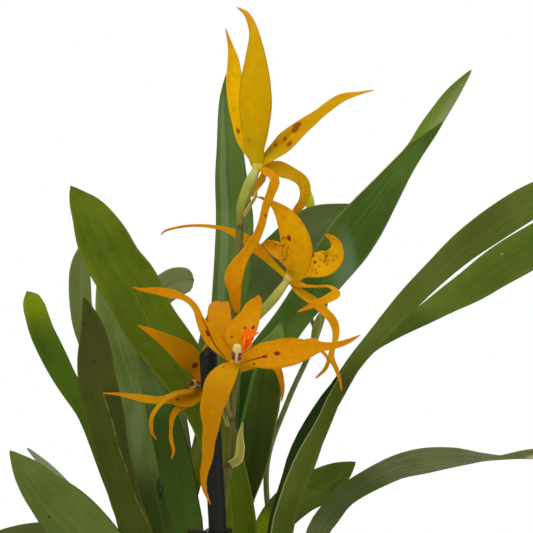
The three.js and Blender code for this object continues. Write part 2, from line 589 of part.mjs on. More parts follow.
        widths: [2.4, 7.8, 9.2, 7.4, 4.6, 2.4, 0.4] },
      { keel: 0.6, faces: [[-0.2, -1, 0.4]],
        points: [[-17, -12, 267.5], [-21.5, -14.5, 267.5], [-25.5, -16, 268], [-30, -17.5, 267.5],
          [-35, -18.5, 268], [-40, -19.5, 269], [-45.5, -20, 270], [-52, -21, 270.5]],
        widths: [2, 5.2, 6.2, 4.4, 3.2, 3.4, 2.4, 1.4, 0.4] },
      { keel: 0.4,
        faces: [[-0.2, -0.8, 0.6], [-0.6, -0.8, 0.3], [-0.8, -0.6, 0], [-0.6, -0.8, -0.3]],
        points: [[-19.5, -14, 270.5], [-23.5, -18, 270], [-27.5, -20.5, 268], [-30.5, -22, 265],
          [-32.5, -22.5, 261.5], [-33, -22, 258], [-32.5, -20, 254.5], [-31, -17.5, 252]],
        widths: [1.8, 3, 3.2, 2.8, 2.8, 2.4, 2.2, 1.6, 0.4] },
      { keel: 0.4, faces: [[0.3, -1, 0.4], [-0.3, -1, 0]],
        points: [[-19.5, -13, 266], [-23, -15, 264], [-25, -16, 260.5], [-25.5, -15.5, 256.5],
          [-25.5, -15, 252], [-24.5, -14.5, 247.5], [-25.5, -14, 244]],
        widths: [1.8, 3.2, 2.8, 2.2, 1.4, 1.6, 1.2, 0.4] },
      { keel: 0.5, faces: [[0, -1, 0.3]],
        points: [[-6, -2, 277], [3.5, 1, 280], [11, 2, 281.5], [16, 1, 279.5], [18, 0.5, 274],
          [18.5, 0, 270], [18, -1, 266]],
        widths: [2, 3.2, 3.8, 3.8, 3.2, 2.2, 1.4, 0.4] },
    ],
    lip: { keel: 0.8, faces: [[0.2, -1, 0.2]],
      points: [[-13.5, -5, 278], [-11.5, -4, 283], [-10.5, -4, 287.5], [-10, -4, 290.5]],
      widths: [2, 3.2, 5.6, 5.2, 2.4] },
    column: { girth: 1.8, points: [[-15.5, -13, 273.5], [-17.5, -17.5, 274] ] },
  },
};

const ANTHER_SWELL = 1.25;            // the anther cap's radius over the column's

function bloomBlade(centre, blade, grow = 0) {
  const points = [centre, ...blade.points];
  return toSolid(bladeGeometry({ ...blade, points, grow, thickness: TEPAL_THICKNESS, steps: TEPAL_STEPS }));
}

function largestPiece(solid) {
  return solid.decompose().reduce((best, piece) => (piece.volume() > best.volume() ? piece : best));
}

// The five tepals are one growth; the lip and the column keep clear of it and of each other.
function buildBloom(name, { centre, tepals, lip, column }) {
  const blades = tepals.map((tepal) => bloomBlade(centre, tepal));
  const tepalRooms = tepals.map((tepal) => bloomBlade(centre, tepal, GAP));
  const rooms = [ballSolid(centre, HUB_RADIUS + GAP), ...tepalRooms];
  const columnRod = stemSolid([centre, ...column.points], column.girth, 3, THIN_STEM_SIDES);
  const anther = ballSolid(column.points.at(-1), column.girth * ANTHER_SWELL);
  const columnSolid = cutBy(columnRod.add(anther), [...rooms, bloomBlade(centre, lip, GAP)]);
  const lipSolid = cutBy(bloomBlade(centre, lip), rooms);
  addPart(`bloom_${name}_tepals`, toGeometry(joined([ballSolid(centre, HUB_RADIUS), ...blades])), "tepal");
  addPart(`bloom_${name}_lip`, toGeometry(largestPiece(lipSolid)), "lip");
  addPart(`bloom_${name}_column`, toGeometry(largestPiece(columnSolid)), "column");
}

// ---------------------------------------------------------------- flower spikes

const SPIKE = {
  stem: [[-9, -9, 89], [-7, -10, 150], [-6, -8, 190], [-6, -6, 214], [-3, -6, 241], [-2, -6, 259],
    [0, -6, 281], [0, -6, 300], [1, -6, 325], [1.5, -5, 338]],
  stalks: {
    top: { girth: 1.4, ovary: 2.2, points: [[1.5, -5, 335], [2, -5, 343], [5, -3.5, 352]] },
    right: { girth: 1.3, ovary: 2.1, points: [[0, -6, 292], [7, 0, 299], [14, 4, 306]] },
    front: { girth: 1.1, ovary: 1.3, points: [[-2, -6, 259], [-4, -13, 266], [-3, -22, 275]] },
    left: { girth: 1.1, ovary: 1.3, points: [[-2, -6, 255], [-5, -5, 262], [-9, -6.5, 268]] },
  },
};
const STEM_RADIUS = 1.6;
const SPIKE_STEPS = 16;

const BRACTS = {
  lower: { keel: 0.8, faces: [[0.3, -1, 0]],
    points: [[-2.5, -7.6, 241.5], [0.5, -8.3, 243.5], [1.5, -8.5, 247.5], [1.5, -8.5, 252],
      [2.5, -8.5, 258.5]],
    widths: [3.2, 3.8, 3.6, 2.8, 0.6] },
  middle: { keel: 0.4, faces: [[-0.6, -1, 0]],
    points: [[-3.3, -7.2, 256.5], [-4.3, -7.6, 261], [-4.8, -7.6, 264.5]],
    widths: [1.6, 2, 0.6] },
  upper: { keel: 0.3, faces: [[0.5, -1, 0]],
    points: [[2.8, -6, 340], [5.6, -6, 344.5], [7.4, -6, 347.5], [8.4, -6, 350.5]],
    widths: [1.6, 1.6, 1.5, 0.5] },
};

function spikeStemSolid() {
  return stemSolid(SPIKE.stem, STEM_RADIUS, SPIKE_STEPS);
}

function buildSpike() {
  const stalks = Object.entries(SPIKE.stalks).flatMap(([name, { girth, ovary, points }]) => {
    const whole = [...points, BLOOMS[name].centre];
    const [start, end] = whole.slice(-2).map(vector);
    const ovaryEnd = start.clone().lerp(end, 0.68).toArray();
    return [stemSolid(whole, girth, 6), stemSolid([whole.at(-2), ovaryEnd], ovary, 1)];
  });
  const bracts = Object.values(BRACTS).map((bract) => toSolid(bladeGeometry({
    ...bract, thickness: TEPAL_THICKNESS, steps: 6,
  })));
  const hubRooms = Object.values(BLOOMS).map(({ centre }) => ballSolid(centre, HUB_RADIUS + GAP));
  const green = joined([spikeStemSolid(), ...stalks, ...bracts]);
  addPart("flower_spike", toGeometry(cutBy(green, hubRooms)), "stem");
}

const BACK_SPIKE = {
  radius: 1.2,
  points: [[28, 36, 89], [24, 40, 150], [17, 46, 200], [14, 51, 236], [22, 61, 263], [29, 70, 279],
    [34, 78, 290], [38, 86, 305], [37, 90, 325], [34, 90, 343]],
  buds: [
    [[30, 72, 281], [32.5, 73, 289], [34.5, 74, 297]],
    [[34, 78, 290], [31, 80, 299], [29, 82, 308]],
    [[38, 86, 305], [42, 84, 312], [44, 84, 321]],
    [[37, 90, 325], [32, 88, 331], [29, 87, 339]],
    [[34, 90, 339], [31.5, 89, 345.5], [30, 88, 352]],
  ],
};

// A slim bud: a stalk that ends in a long pointed ball.
function budSolids([from, middle, tip]) {
  const bud = new THREE.SphereGeometry(2.6, 6, 6);
  bud.scale(1, 2.8, 1);
  const along = vector(tip).sub(vector(middle)).normalize();
  bud.applyQuaternion(new THREE.Quaternion().setFromUnitVectors(new THREE.Vector3(0, 1, 0), along));
  bud.translate(...vector(middle).lerp(vector(tip), 0.6).toArray());
  return [stemSolid([from, middle, tip], 0.9, 3, THIN_STEM_SIDES), toSolid(bud)];
}

function buildBackSpike() {
  const stem = stemSolid(BACK_SPIKE.points, BACK_SPIKE.radius, SPIKE_STEPS, THIN_STEM_SIDES);
  addPart("back_spike", toGeometry(joined([stem, ...BACK_SPIKE.buds.flatMap(budSolids)])), "stem");
}

// ---------------------------------------------------------------- stake and clip

function stakeSolid(grow = 0) {
  const foot = vector(STAKE_FOOT);
  const top = vector(STAKE_TOP);
  const radius = STAKE_RADIUS + grow;
  const length = foot.distanceTo(top);
  const profile = [[0, 0], [radius, 0], [radius, length + 0.4], [radius - 0.7, length + 1], [0, length + 1]];
  const stake = new THREE.LatheGeometry(profile.map(([r, z]) => new THREE.Vector2(r, z)), 16);
  const along = top.clone().sub(foot).normalize();
  stake.applyQuaternion(new THREE.Quaternion().setFromUnitVectors(new THREE.Vector3(0, 1, 0), along));
  stake.translate(foot.x, foot.y, foot.z);
  return toSolid(stake);
}

// A band round the stake and the stem, with a finger tab to the left.
function buildClip(stakeRoom, stemRoom) {
  const middle = CLIP_BOTTOM + CLIP_HEIGHT / 2;
  const lean = (middle - STAKE_FOOT[2]) / (STAKE_TOP[2] - STAKE_FOOT[2]);
  const stakeX = mix(STAKE_FOOT[0], STAKE_TOP[0], lean);
  const half = STAKE_RADIUS + CLIP_WALL;
  const front = STAKE_FOOT[1] - half;
  const back = SPIKE.stem[3][1] + STEM_RADIUS + CLIP_WALL;
  const tabEnd = stakeX - half - CLIP_TAB;
  const tabFront = (front + back - CLIP_TAB_WIDTH) / 2;
  const outline = new THREE.Shape();
  outline.absarc(stakeX, back - half, half, 0, Math.PI, false);
  outline.lineTo(stakeX - half, tabFront + CLIP_TAB_WIDTH);
  outline.lineTo(tabEnd, tabFront + CLIP_TAB_WIDTH);
  outline.lineTo(tabEnd, tabFront);
  outline.lineTo(stakeX - half, tabFront);
  outline.absarc(stakeX, front + half, half, Math.PI, 2 * Math.PI, false);
  outline.closePath();
  const extrusion = { depth: CLIP_HEIGHT, bevelEnabled: false, curveSegments: 6 };
  const band = new THREE.ExtrudeGeometry(outline, extrusion);
  band.translate(0, 0, CLIP_BOTTOM);
  addPart("clip", toGeometry(toSolid(band).subtract(stakeRoom).subtract(stemRoom)), "clip");
}

// ---------------------------------------------------------------- the whole plant

function buildBark(bulbRooms, stakeRoom) {
  const roots = SHEATH_ROOTS.map((leaf) => slotSolid(leaf.points[0], bladeWidth(0, leaf)));
  const stems = [SPIKE.stem, BACK_SPIKE.points].map((points) => slotSolid(points[0], 2 * STEM_RADIUS));
  const relief = joined([fillSolid(BARK_TOP), ...chipSolids()]).intersect(fillSolid(BARK_TOP + 7));
  const holes = [...bulbRooms, ...roots, ...stems, stakeRoom];
  addPart("bark", toGeometry(cutBy(relief, holes)), "bark");
}

buildPot();
const stakeRoom = stakeSolid(GAP);
buildBark(Object.values(BULB_PLACES).map((place) => bulbSolid(place, GAP)), stakeRoom);
for (const [name, place] of Object.entries(BULB_PLACES)) {
  addPart(`bulb_${name}`, toGeometry(bulbSolid(place)), "bulb");
}
for (const [name, leaf] of Object.entries(LEAVES)) {
  addPart(`leaf_${name}`, toGeometry(leafSolid(leaf)), "leaf");
}
buildSpike();
buildBackSpike();
for (const [name, bloom] of Object.entries(BLOOMS)) {
  buildBloom(name, bloom);
}
addPart("stake", toGeometry(stakeSolid()), "stake");
buildClip(stakeRoom, stemSolid(SPIKE.stem, STEM_RADIUS + GAP, SPIKE_STEPS));

export default orchid;
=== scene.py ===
"""A brassia orchid in bloom: pot, bark, pseudobulbs, strap leaves, two flower spikes, stake and clip."""

import math
import random

import bmesh
import bpy
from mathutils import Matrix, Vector, noise


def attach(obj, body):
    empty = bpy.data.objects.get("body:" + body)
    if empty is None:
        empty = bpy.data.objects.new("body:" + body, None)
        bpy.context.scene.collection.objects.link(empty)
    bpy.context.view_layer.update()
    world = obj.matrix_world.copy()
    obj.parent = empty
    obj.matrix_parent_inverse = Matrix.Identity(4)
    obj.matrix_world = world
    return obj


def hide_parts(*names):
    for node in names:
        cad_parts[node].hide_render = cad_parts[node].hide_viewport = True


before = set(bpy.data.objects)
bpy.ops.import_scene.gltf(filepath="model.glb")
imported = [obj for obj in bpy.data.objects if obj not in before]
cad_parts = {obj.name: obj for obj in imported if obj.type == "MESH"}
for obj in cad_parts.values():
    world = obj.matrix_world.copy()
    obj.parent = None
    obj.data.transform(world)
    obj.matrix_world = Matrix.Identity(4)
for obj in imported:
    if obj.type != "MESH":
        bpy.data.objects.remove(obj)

bl_info = {
    "name": "Brassia Orchid",
    "version": (1, 0, 0),
    "blender": (4, 5, 0),
    "location": "View3D > Sidebar > Orchid",
    "description": "Builds a potted brassia orchid: pot, bark, bulbs, leaves, flower spikes, stake and clip",
    "category": "Add Mesh",
}

MM = 0.001


def paint(red, green, blue):
    """A colour as it looks on a screen, 0 to 255, turned into the linear values that a shader takes."""
    def linear(level):
        level /= 255.0
        return level / 12.92 if level <= 0.04045 else ((level + 0.055) / 1.055) ** 2.4
    return (linear(red), linear(green), linear(blue), 1.0)


def smooth(t):
    """Eases a share in and out."""
    return t * t * (3 - 2 * t)


def held(t):
    """A share kept between 0 and 1."""
    return max(0.0, min(1.0, t))


def mix(a, b, t):
    """The value at share t between two others."""
    return a + (b - a) * t


# ---------------------------------------------------------------- sizes and colours

def length_prop(name, description, default, smallest=0.0001):
    """A size in metres that the sidebar shows as a length."""
    return bpy.props.FloatProperty(name=name, description=description, default=default,
                                   min=smallest, soft_max=1.0, precision=4, subtype="DISTANCE", unit="LENGTH")


def colour_prop(name, description, default):
    """A colour that the sidebar shows as a swatch."""
    return bpy.props.FloatVectorProperty(name=name, description=description, default=default,
                                         min=0.0, max=1.0, size=4, subtype="COLOR")


class OrchidPotSizes(bpy.types.PropertyGroup):
    """The pot and the bark in it."""
    height: length_prop("Height", "Height of the pot", 0.105)
    rim_radius: length_prop("Rim radius", "Outer radius of the rim", 0.060)
    foot_radius: length_prop("Foot radius", "Outer radius of the flat bottom", 0.044)
    wall: length_prop("Wall", "Thickness of the pot's wall", 0.002)
    floor: length_prop("Floor", "Thickness of the pot's floor", 0.0025)
    rim_band: length_prop("Rim band", "Height of the thick band round the top", 0.012)
    rim_step: length_prop("Rim step", "How far the band stands out from the wall", 0.0024)
    drain_radius: length_prop("Drain radius", "Radius of a drain hole", 0.004)
    drain_circle: length_prop("Drain circle", "Radius of the circle of drain holes", 0.031)
    drains: bpy.props.IntProperty(name="Drains", description="Number of drain holes", default=6,
                                  min=0, max=12)
    bark_top: length_prop("Bark height", "Height of the bark's bed above the pot's bottom", 0.087)
    chip_length: length_prop("Chip length", "Length of an average chip of bark", 0.015)
    chip_spacing: length_prop("Chip spacing", "Least distance between two chips of bark", 0.0058)
    chip_seed: bpy.props.IntProperty(name="Chip seed", description="Seed of the loose bark", default=7)


class OrchidBulbSizes(bpy.types.PropertyGroup):
    """The pseudobulbs."""
    width: length_prop("Width", "Width of a pseudobulb", 0.028)
    depth: length_prop("Depth", "Depth of a pseudobulb", 0.018)
    height: length_prop("Height", "Height of a pseudobulb", 0.062)
    foot: length_prop("Foot", "Height of a pseudobulb's foot above the pot's bottom", 0.088)
    furrow: length_prop("Furrow", "Depth of the furrows along a pseudobulb", 0.0006, 0.0)
    sheath: length_prop("Sheath", "Height of the dry sheath round its foot", 0.030)


class OrchidLeafSizes(bpy.types.PropertyGroup):
    """The strap leaves."""
    thickness: length_prop("Thickness", "Thickness of a leaf", 0.001)
    edge_wave: length_prop("Edge wave", "How far a leaf's margins wander", 0.0006, 0.0)
    stations: bpy.props.IntProperty(name="Stations", description="Rings of points along a leaf",
                                    default=60, min=8, max=120)
    sides: bpy.props.IntProperty(name="Sides", description="Points round a leaf's section",
                                 default=40, min=8, max=64)


class OrchidBloomSizes(bpy.types.PropertyGroup):
    """The blooms."""
    thickness: length_prop("Thickness", "Thickness of a tepal", 0.0008)
    ruffle: length_prop("Ruffle", "How far a tepal's margins wander", 0.0008, 0.0)
    hub_radius: length_prop("Hub radius", "Radius of the knot where the tepals meet", 0.0023)
    column_radius: length_prop("Column radius", "Radius of the column", 0.0013)
    stations: bpy.props.IntProperty(name="Stations", description="Rings of points along a tepal",
                                    default=44, min=8, max=120)
    sides: bpy.props.IntProperty(name="Sides", description="Points round a tepal's section",
                                 default=32, min=8, max=64)


class OrchidSpikeSizes(bpy.types.PropertyGroup):
    """The flower spikes, the stake and the clip."""
    stem_radius: length_prop("Stem radius", "Radius of the flower spike's stem", 0.0016)
    stalk_girth: bpy.props.FloatProperty(name="Stalk girth", description="Thickness of the blooms' stalks",
                                         default=1.0, min=0.2, soft_max=3.0, subtype="FACTOR")
    back_radius: length_prop("Back spike radius", "Radius of the budding spike's stem", 0.0012)
    stake_radius: length_prop("Stake radius", "Radius of the support stake", 0.0035)
    clip_height: length_prop("Clip height", "Height of the plastic clip", 0.009)
    clip_wall: length_prop("Clip wall", "Thickness of the clip's band", 0.0018)


class OrchidColours(bpy.types.PropertyGroup):
    """The plant's colours."""
    petal_gold: colour_prop("Petal gold", "Main colour of the tepals", paint(192, 131, 0))
    petal_orange: colour_prop("Petal orange", "Colour of a tepal's margins and tip", paint(184, 112, 0))
    petal_spot: colour_prop("Petal spot", "Colour of the spots and the mid line", paint(92, 34, 16))
    callus: colour_prop("Callus", "Red-orange middle of the lip", paint(226, 98, 2))
    column: colour_prop("Column", "Cream of the column and its cap", paint(206, 184, 104))
    stem: colour_prop("Stem", "Olive brown of the flower spike", paint(80, 76, 30))
    stalk: colour_prop("Stalk", "Yellow green of the stalks and ovaries", paint(132, 136, 36))
    bulb: colour_prop("Bulb", "Green of the pseudobulbs", paint(118, 140, 56))
    sheath: colour_prop("Sheath", "Tan of the dry sheaths", paint(178, 148, 104))
    bark: colour_prop("Bark", "Brown of the bark", paint(108, 72, 46))
    pot: colour_prop("Pot", "Plastic of the pot", paint(46, 47, 50))
    stake: colour_prop("Stake", "Plastic of the stake and the clip", paint(17, 17, 12))


# ---------------------------------------------------------------- wiring of node trees

class Wiring:
    """Adds nodes to a tree, and feeds their sockets with other sockets or with plain values."""

    def __init__(self, tree):
        self.tree = tree

    def feed(self, socket, value):
        if isinstance(value, bpy.types.NodeSocket):
            self.tree.links.new(value, socket)
        else:
            socket.default_value = value

    def node(self, kind, feeds=None, **settings):
        node = self.tree.nodes.new(kind)
        for name, value in settings.items():
            setattr(node, name, value)
        for name, value in (feeds or {}).items():
            self.feed(node.inputs[name], value)
        return node

    def calc(self, operation, *values):
        node = self.node("ShaderNodeMath", operation=operation)
        for socket, value in zip(node.inputs, values):
            self.feed(socket, value)
        return node.outputs[0]

    def times(self, first, *others):
        for value in others:
            first = self.calc("MULTIPLY", first, value)
        return first

    def plus(self, first, *others):
        for value in others:
            first = self.calc("ADD", first, value)
        return first

    def less(self, first, second):
        return self.calc("SUBTRACT", first, second)

    def vector(self, operation, *values):
        node = self.node("ShaderNodeVectorMath", operation=operation)
        for socket, value in zip(node.inputs, values):
            self.feed(socket, value)
        return node.outputs["Value" if operation in ("LENGTH", "DOT_PRODUCT") else "Vector"]

    def scaled(self, vector, amount):
        node = self.node("ShaderNodeVectorMath", {"Scale": amount}, operation="SCALE")
        self.feed(node.inputs[0], vector)
        return node.outputs[0]

    def xyz(self, x, y, z):
        return self.node("ShaderNodeCombineXYZ", {"X": x, "Y": y, "Z": z}).outputs[0]

    def parts(self, vector):
        return self.node("ShaderNodeSeparateXYZ", {"Vector": vector}).outputs[:3]

    def ranged(self, value, low, high, to_low=0.0, to_high=1.0, shape="SMOOTHSTEP"):
        feeds = {"Value": value, "From Min": low, "From Max": high, "To Min": to_low, "To Max": to_high}
        return self.node("ShaderNodeMapRange", feeds, interpolation_type=shape).outputs[0]

    def noise(self, vector, scale, detail):
        feeds = {"Vector": vector, "Scale": scale, "Detail": detail}
        return self.node("ShaderNodeTexNoise", feeds).outputs[0]

    def cells(self, vector, scale):
        return self.node("ShaderNodeTexVoronoi", {"Vector": vector, "Scale": scale}).outputs["Distance"]

    def attribute(self, name, output="Vector"):
        return self.node("ShaderNodeAttribute", attribute_name=name).outputs[output]

    def place(self):
        """A point's place on the object, in metres."""
        return self.node("ShaderNodeTexCoord").outputs["Object"]

    def tint(self, factor, first, second):
        """A blend of two colours."""
        node = self.node("ShaderNodeMix", data_type="RGBA", blend_type="MIX")
        for socket, value in zip((node.inputs[0], node.inputs[6], node.inputs[7]), (factor, first, second)):
            self.feed(socket, value)
        return node.outputs[2]

    def wash(self, under, over, value, low, high, amount=1.0):
        """Lays one colour over another as the value goes from low to high, at most by the amount."""
        return self.tint(self.ranged(value, low, high, 0.0, amount), under, over)


# ---------------------------------------------------------------- trees that grow blades and stalks

def tree_with_inputs(name, inputs):
    """An empty geometry tree with named inputs, its Wiring and its Group Input sockets."""
    tree = bpy.data.node_groups.new(name, "GeometryNodeTree")
    tree.interface.new_socket("Geometry", in_out="INPUT", socket_type="NodeSocketGeometry")
    for label, kind, default in inputs:
        socket = tree.interface.new_socket(label, in_out="INPUT", socket_type="NodeSocket" + kind)
        if default is not None:
            socket.default_value = default
    tree.interface.new_socket("Geometry", in_out="OUTPUT", socket_type="NodeSocketGeometry")
    w = Wiring(tree)
    return tree, w, w.node("NodeGroupInput").outputs


def end_tree(w, geometry, material, flat=False):
    """Smooths, realizes and paints what a tree has made, and gives it out."""
    shaded = w.node("GeometryNodeSetShadeSmooth", {"Geometry": geometry, "Shade Smooth": not flat})
    real = w.node("GeometryNodeRealizeInstances", {"Geometry": shaded.outputs[0]})
    painted = w.node("GeometryNodeSetMaterial", {"Geometry": real.outputs[0], "Material": material})
    w.node("NodeGroupOutput", {"Geometry": painted.outputs[0]})


def tube(w, given):
    """A capped tube of Stations rings with Sides points each, and a point's x, y and height in it."""
    feeds = {"Vertices": given["Sides"], "Side Segments": given["Stations"], "Radius": 1.0, "Depth": 2.0}
    mesh = w.node("GeometryNodeMeshCylinder", feeds, fill_type="NGON").outputs["Mesh"]
    return mesh, *w.parts(w.node("GeometryNodeInputPosition").outputs[0])


def laid_out(w, mesh, mark, centre, shift, material):
    """Moves the points beside their centres, stores their mark as "blade" and ends the tree."""
    feeds = {"Geometry": mesh, "Name": "blade", "Value": mark}
    marked = w.node("GeometryNodeStoreNamedAttribute", feeds, data_type="FLOAT_VECTOR", domain="POINT")
    feeds = {"Geometry": marked.outputs[0], "Position": w.vector("ADD", centre, shift)}
    end_tree(w, w.node("GeometryNodeSetPosition", feeds).outputs[0], material)


def guide_samples(w, guide, place):
    """Where the guide line is at `place`, 0 to 1: centre, way out, way aside, and girth."""
    line = w.node("GeometryNodeMeshToCurve", {"Mesh": guide}).outputs[0]

    def sampled(name, kind):
        stored = w.node("GeometryNodeInputNamedAttribute", {"Name": name}, data_type=kind).outputs[0]
        feeds = {"Curves": line, "Value": stored, "Factor": place}
        return w.node("GeometryNodeSampleCurve", feeds, mode="FACTOR", data_type=kind).outputs

    facing, girth = sampled("facing", "FLOAT_VECTOR"), sampled("girth", "FLOAT")
    along = facing["Tangent"]
    lean = w.vector("DOT_PRODUCT", facing["Value"], along)
    out = w.vector("NORMALIZE", w.vector("SUBTRACT", facing["Value"], w.scaled(along, lean)))
    aside = w.vector("NORMALIZE", w.vector("CROSS_PRODUCT", out, along))
    return facing["Position"], out, aside, girth["Value"]


def blade_tree():
    """A closed strap that follows a guide line: leaves, tepals, lips and bracts."""
    tree, w, given = tree_with_inputs("Blade", [
        ("Stations", "Int", 48), ("Sides", "Int", 32),
        ("Width", "Float", 0.02), ("Root width", "Float", 0.008), ("Tip width", "Float", 0.001),
        ("Widest at", "Float", 0.5), ("Bluntness", "Float", 2.6), ("Tip rounding", "Float", 0.01),
        ("Fold depth", "Float", 0.002), ("Fold softness", "Float", 1.0), ("Thickness", "Float", 0.001),
        ("Edge wave", "Float", 0.0), ("Waves", "Float", 4.0), ("Outline wander", "Float", 0.0),
        ("Phase", "Float", 0.0), ("Own outline", "Float", 0.0), ("Material", "Material", None),
    ])
    mesh, round_x, round_y, height = tube(w, given)
    calc, times, plus, less, ranged = w.calc, w.times, w.plus, w.less, w.ranged

    # stations crowd towards the tip, and the tube's circle is pressed into a lens from margin to margin
    from_tip = calc("MAXIMUM", calc("MULTIPLY_ADD", height, -0.5, 0.5), 0.0)
    place = less(1.0, calc("POWER", from_tip, 1.4))
    across = times(calc("ARCSINE", calc("MINIMUM", calc("MAXIMUM", round_x, -1.0), 1.0)), 2 / math.pi)
    off_middle = calc("ABSOLUTE", across)
    lens = calc("SQRT", calc("MAXIMUM", less(1.0, times(across, across)), 0.0))
    level = times(lens, calc("SIGN", less(round_y, times(round_x, 1e-6))))

    # the outline: the guide's own widths, or a swelling and a narrowing, both with a rounded tip
    swelling = ranged(place, 0.0, given["Widest at"], given["Root width"], given["Width"])
    closing = calc("POWER", ranged(place, given["Widest at"], 1.0, shape="LINEAR"), given["Bluntness"])
    narrowing = times(closing, less(given["Tip width"], given["Width"]))
    centre, out, aside, girth = guide_samples(w, given["Geometry"], place)
    plain_width = ranged(given["Own outline"], 0.0, 1.0, plus(swelling, narrowing), girth, "LINEAR")
    to_tip = calc("DIVIDE", less(1.0, place), calc("MAXIMUM", given["Tip rounding"], 1e-4))
    cap = less(1.0, calc("MINIMUM", to_tip, 1.0))
    rounding = calc("SQRT", calc("MAXIMUM", less(1.0, times(cap, cap)), 0.0008))
    seat = w.xyz(times(place, given["Waves"]), times(calc("SIGN", across), 3.7), given["Phase"])
    wander = less(w.noise(seat, 1.0, 1.0), 0.5)
    width = times(plain_width, rounding, calc("MULTIPLY_ADD", wander, given["Outline wander"], 1.0))

    # the lift off the guide: the mid rib's fold, the margins' flutter and the skin's thickness
    full = calc("DIVIDE", plain_width, given["Width"])
    fold = times(given["Fold depth"], calc("MINIMUM", plus(full, 0.15), 1.0))
    dip = less(calc("POWER", off_middle, given["Fold softness"]), 0.5)
    seat = w.vector("ADD", seat, (7.3, 1.9, 4.1))
    flutter = times(less(w.noise(seat, 1.0, 1.0), 0.5), calc("POWER", off_middle, 3.0))
    flutter = times(flutter, times(given["Edge wave"], calc("MINIMUM", full, 1.0)))
    skin = times(given["Thickness"], calc("MINIMUM", calc("MULTIPLY_ADD", full, 0.6, 0.32), 0.5))
    lift = plus(times(fold, dip), times(flutter, 2.0), times(skin, times(level, rounding)))

    shift = w.vector("ADD", w.scaled(aside, times(across, width, 0.5)), w.scaled(out, lift))
    laid_out(w, mesh, w.xyz(across, place, level), centre, shift, given["Material"])
    return tree


def stalk_tree():
    """A round or ribbed rod that follows a guide line, as thick as the guide's girth."""
    tree, w, given = tree_with_inputs("Stalk", [
        ("Stations", "Int", 48), ("Sides", "Int", 16), ("Ribs", "Float", 0.0), ("Rib depth", "Float", 0.0),
        ("Material", "Material", None),
    ])
    mesh, round_x, round_y, height = tube(w, given)
    place = w.calc("MULTIPLY_ADD", height, 0.5, 0.5)
    turn = w.calc("ARCTAN2", round_y, round_x)
    ridge = w.calc("COSINE", w.times(turn, given["Ribs"]))
    centre, out, aside, girth = guide_samples(w, given["Geometry"], place)
    reach = w.times(girth, w.calc("MULTIPLY_ADD", ridge, given["Rib depth"], 1.0))
    shift = w.vector("ADD", w.scaled(aside, w.times(round_x, reach)), w.scaled(out, w.times(round_y, reach)))
    mark = w.xyz(w.calc("DIVIDE", turn, math.pi), place, ridge)
    laid_out(w, mesh, mark, centre, shift, given["Material"])
    return tree


def bark_tree():
    """Loose chips of bark on a disc, kept off the guide's points by their room."""
    tree, w, given = tree_with_inputs("Loose bark", [
        ("Spread", "Float", 0.05), ("Bed height", "Float", 0.087), ("Spacing", "Float", 0.006),
        ("Chip length", "Float", 0.014), ("Seed", "Int", 7), ("Material", "Material", None),
    ])
    disc = w.node("GeometryNodeMeshCircle", {"Vertices": 48, "Radius": given["Spread"]}, fill_type="NGON")
    feeds = {"Mesh": disc.outputs[0], "Distance Min": given["Spacing"], "Density Max": 90000.0,
             "Seed": given["Seed"]}
    seats = w.node("GeometryNodeDistributePointsOnFaces", feeds, distribute_method="POISSON")

    here = w.node("GeometryNodeInputPosition").outputs[0]
    feeds = {"Geometry": given["Geometry"], "Sample Position": here}
    nearest = w.node("GeometryNodeSampleNearest", feeds, domain="POINT")
    feeds = {"Geometry": given["Geometry"], "Index": nearest.outputs[0]}
    point = w.node("GeometryNodeSampleIndex", {**feeds, "Value": here}, data_type="FLOAT_VECTOR")
    room = w.node("GeometryNodeInputNamedAttribute", {"Name": "room"}, data_type="FLOAT")
    space = w.node("GeometryNodeSampleIndex", {**feeds, "Value": room.outputs[0]}, data_type="FLOAT")
    distance = w.vector("LENGTH", w.vector("SUBTRACT", here, point.outputs[0]))
    feeds = {"Geometry": seats.outputs["Points"],
             "Selection": w.calc("LESS_THAN", distance, space.outputs[0])}
    kept = w.node("GeometryNodeDeleteGeometry", feeds, domain="POINT")

    chip = w.node("GeometryNodeMeshCube", {"Vertices X": 4, "Vertices Y": 3, "Vertices Z": 3})
    length = given["Chip length"]
    w.feed(chip.inputs["Size"], w.xyz(length, w.times(length, 0.62), w.times(length, 0.36)))

    def chance(low, high, seed):
        feeds = {"Min": low, "Max": high, "Seed": w.plus(given["Seed"], seed)}
        return w.node("FunctionNodeRandomValue", feeds, data_type="FLOAT_VECTOR").outputs[0]

    feeds = {"Points": kept.outputs[0], "Instance": chip.outputs["Mesh"],
             "Rotation": chance((-0.5, -0.45, 0.0), (0.5, 0.45, 6.28), 1.0),
             "Scale": chance((0.55, 0.6, 0.55), (1.25, 1.3, 1.3), 2.0)}
    placed = w.node("GeometryNodeInstanceOnPoints", feeds)
    feeds = {"Instances": placed.outputs[0], "Local Space": False,
             "Translation": chance((-0.002, -0.002, -0.001), (0.002, 0.002, 0.0055), 3.0)}
    lifted = w.node("GeometryNodeTranslateInstances", feeds)
    feeds = {"Geometry": lifted.outputs[0], "Name": "tone",
             "Value": chance((0.0, 0.0, 0.0), (1.0, 1.0, 1.0), 4.0)}
    toned = w.node("GeometryNodeStoreNamedAttribute", feeds, data_type="FLOAT_VECTOR", domain="INSTANCE")
    real = w.node("GeometryNodeRealizeInstances", {"Geometry": toned.outputs[0]})

    rough = w.node("ShaderNodeTexNoise", {"Vector": here, "Scale": 260.0, "Detail": 1.0})
    push = w.scaled(w.vector("SUBTRACT", rough.outputs["Color"], (0.5, 0.5, 0.5)), 0.0045)
    push = w.vector("ADD", push, w.xyz(0.0, 0.0, given["Bed height"]))
    worn = w.node("GeometryNodeSetPosition", {"Geometry": real.outputs[0], "Offset": push})
    end_tree(w, worn.outputs[0], given["Material"], flat=True)
    return tree


TREES = {"Blade": blade_tree, "Stalk": stalk_tree, "Loose bark": bark_tree}


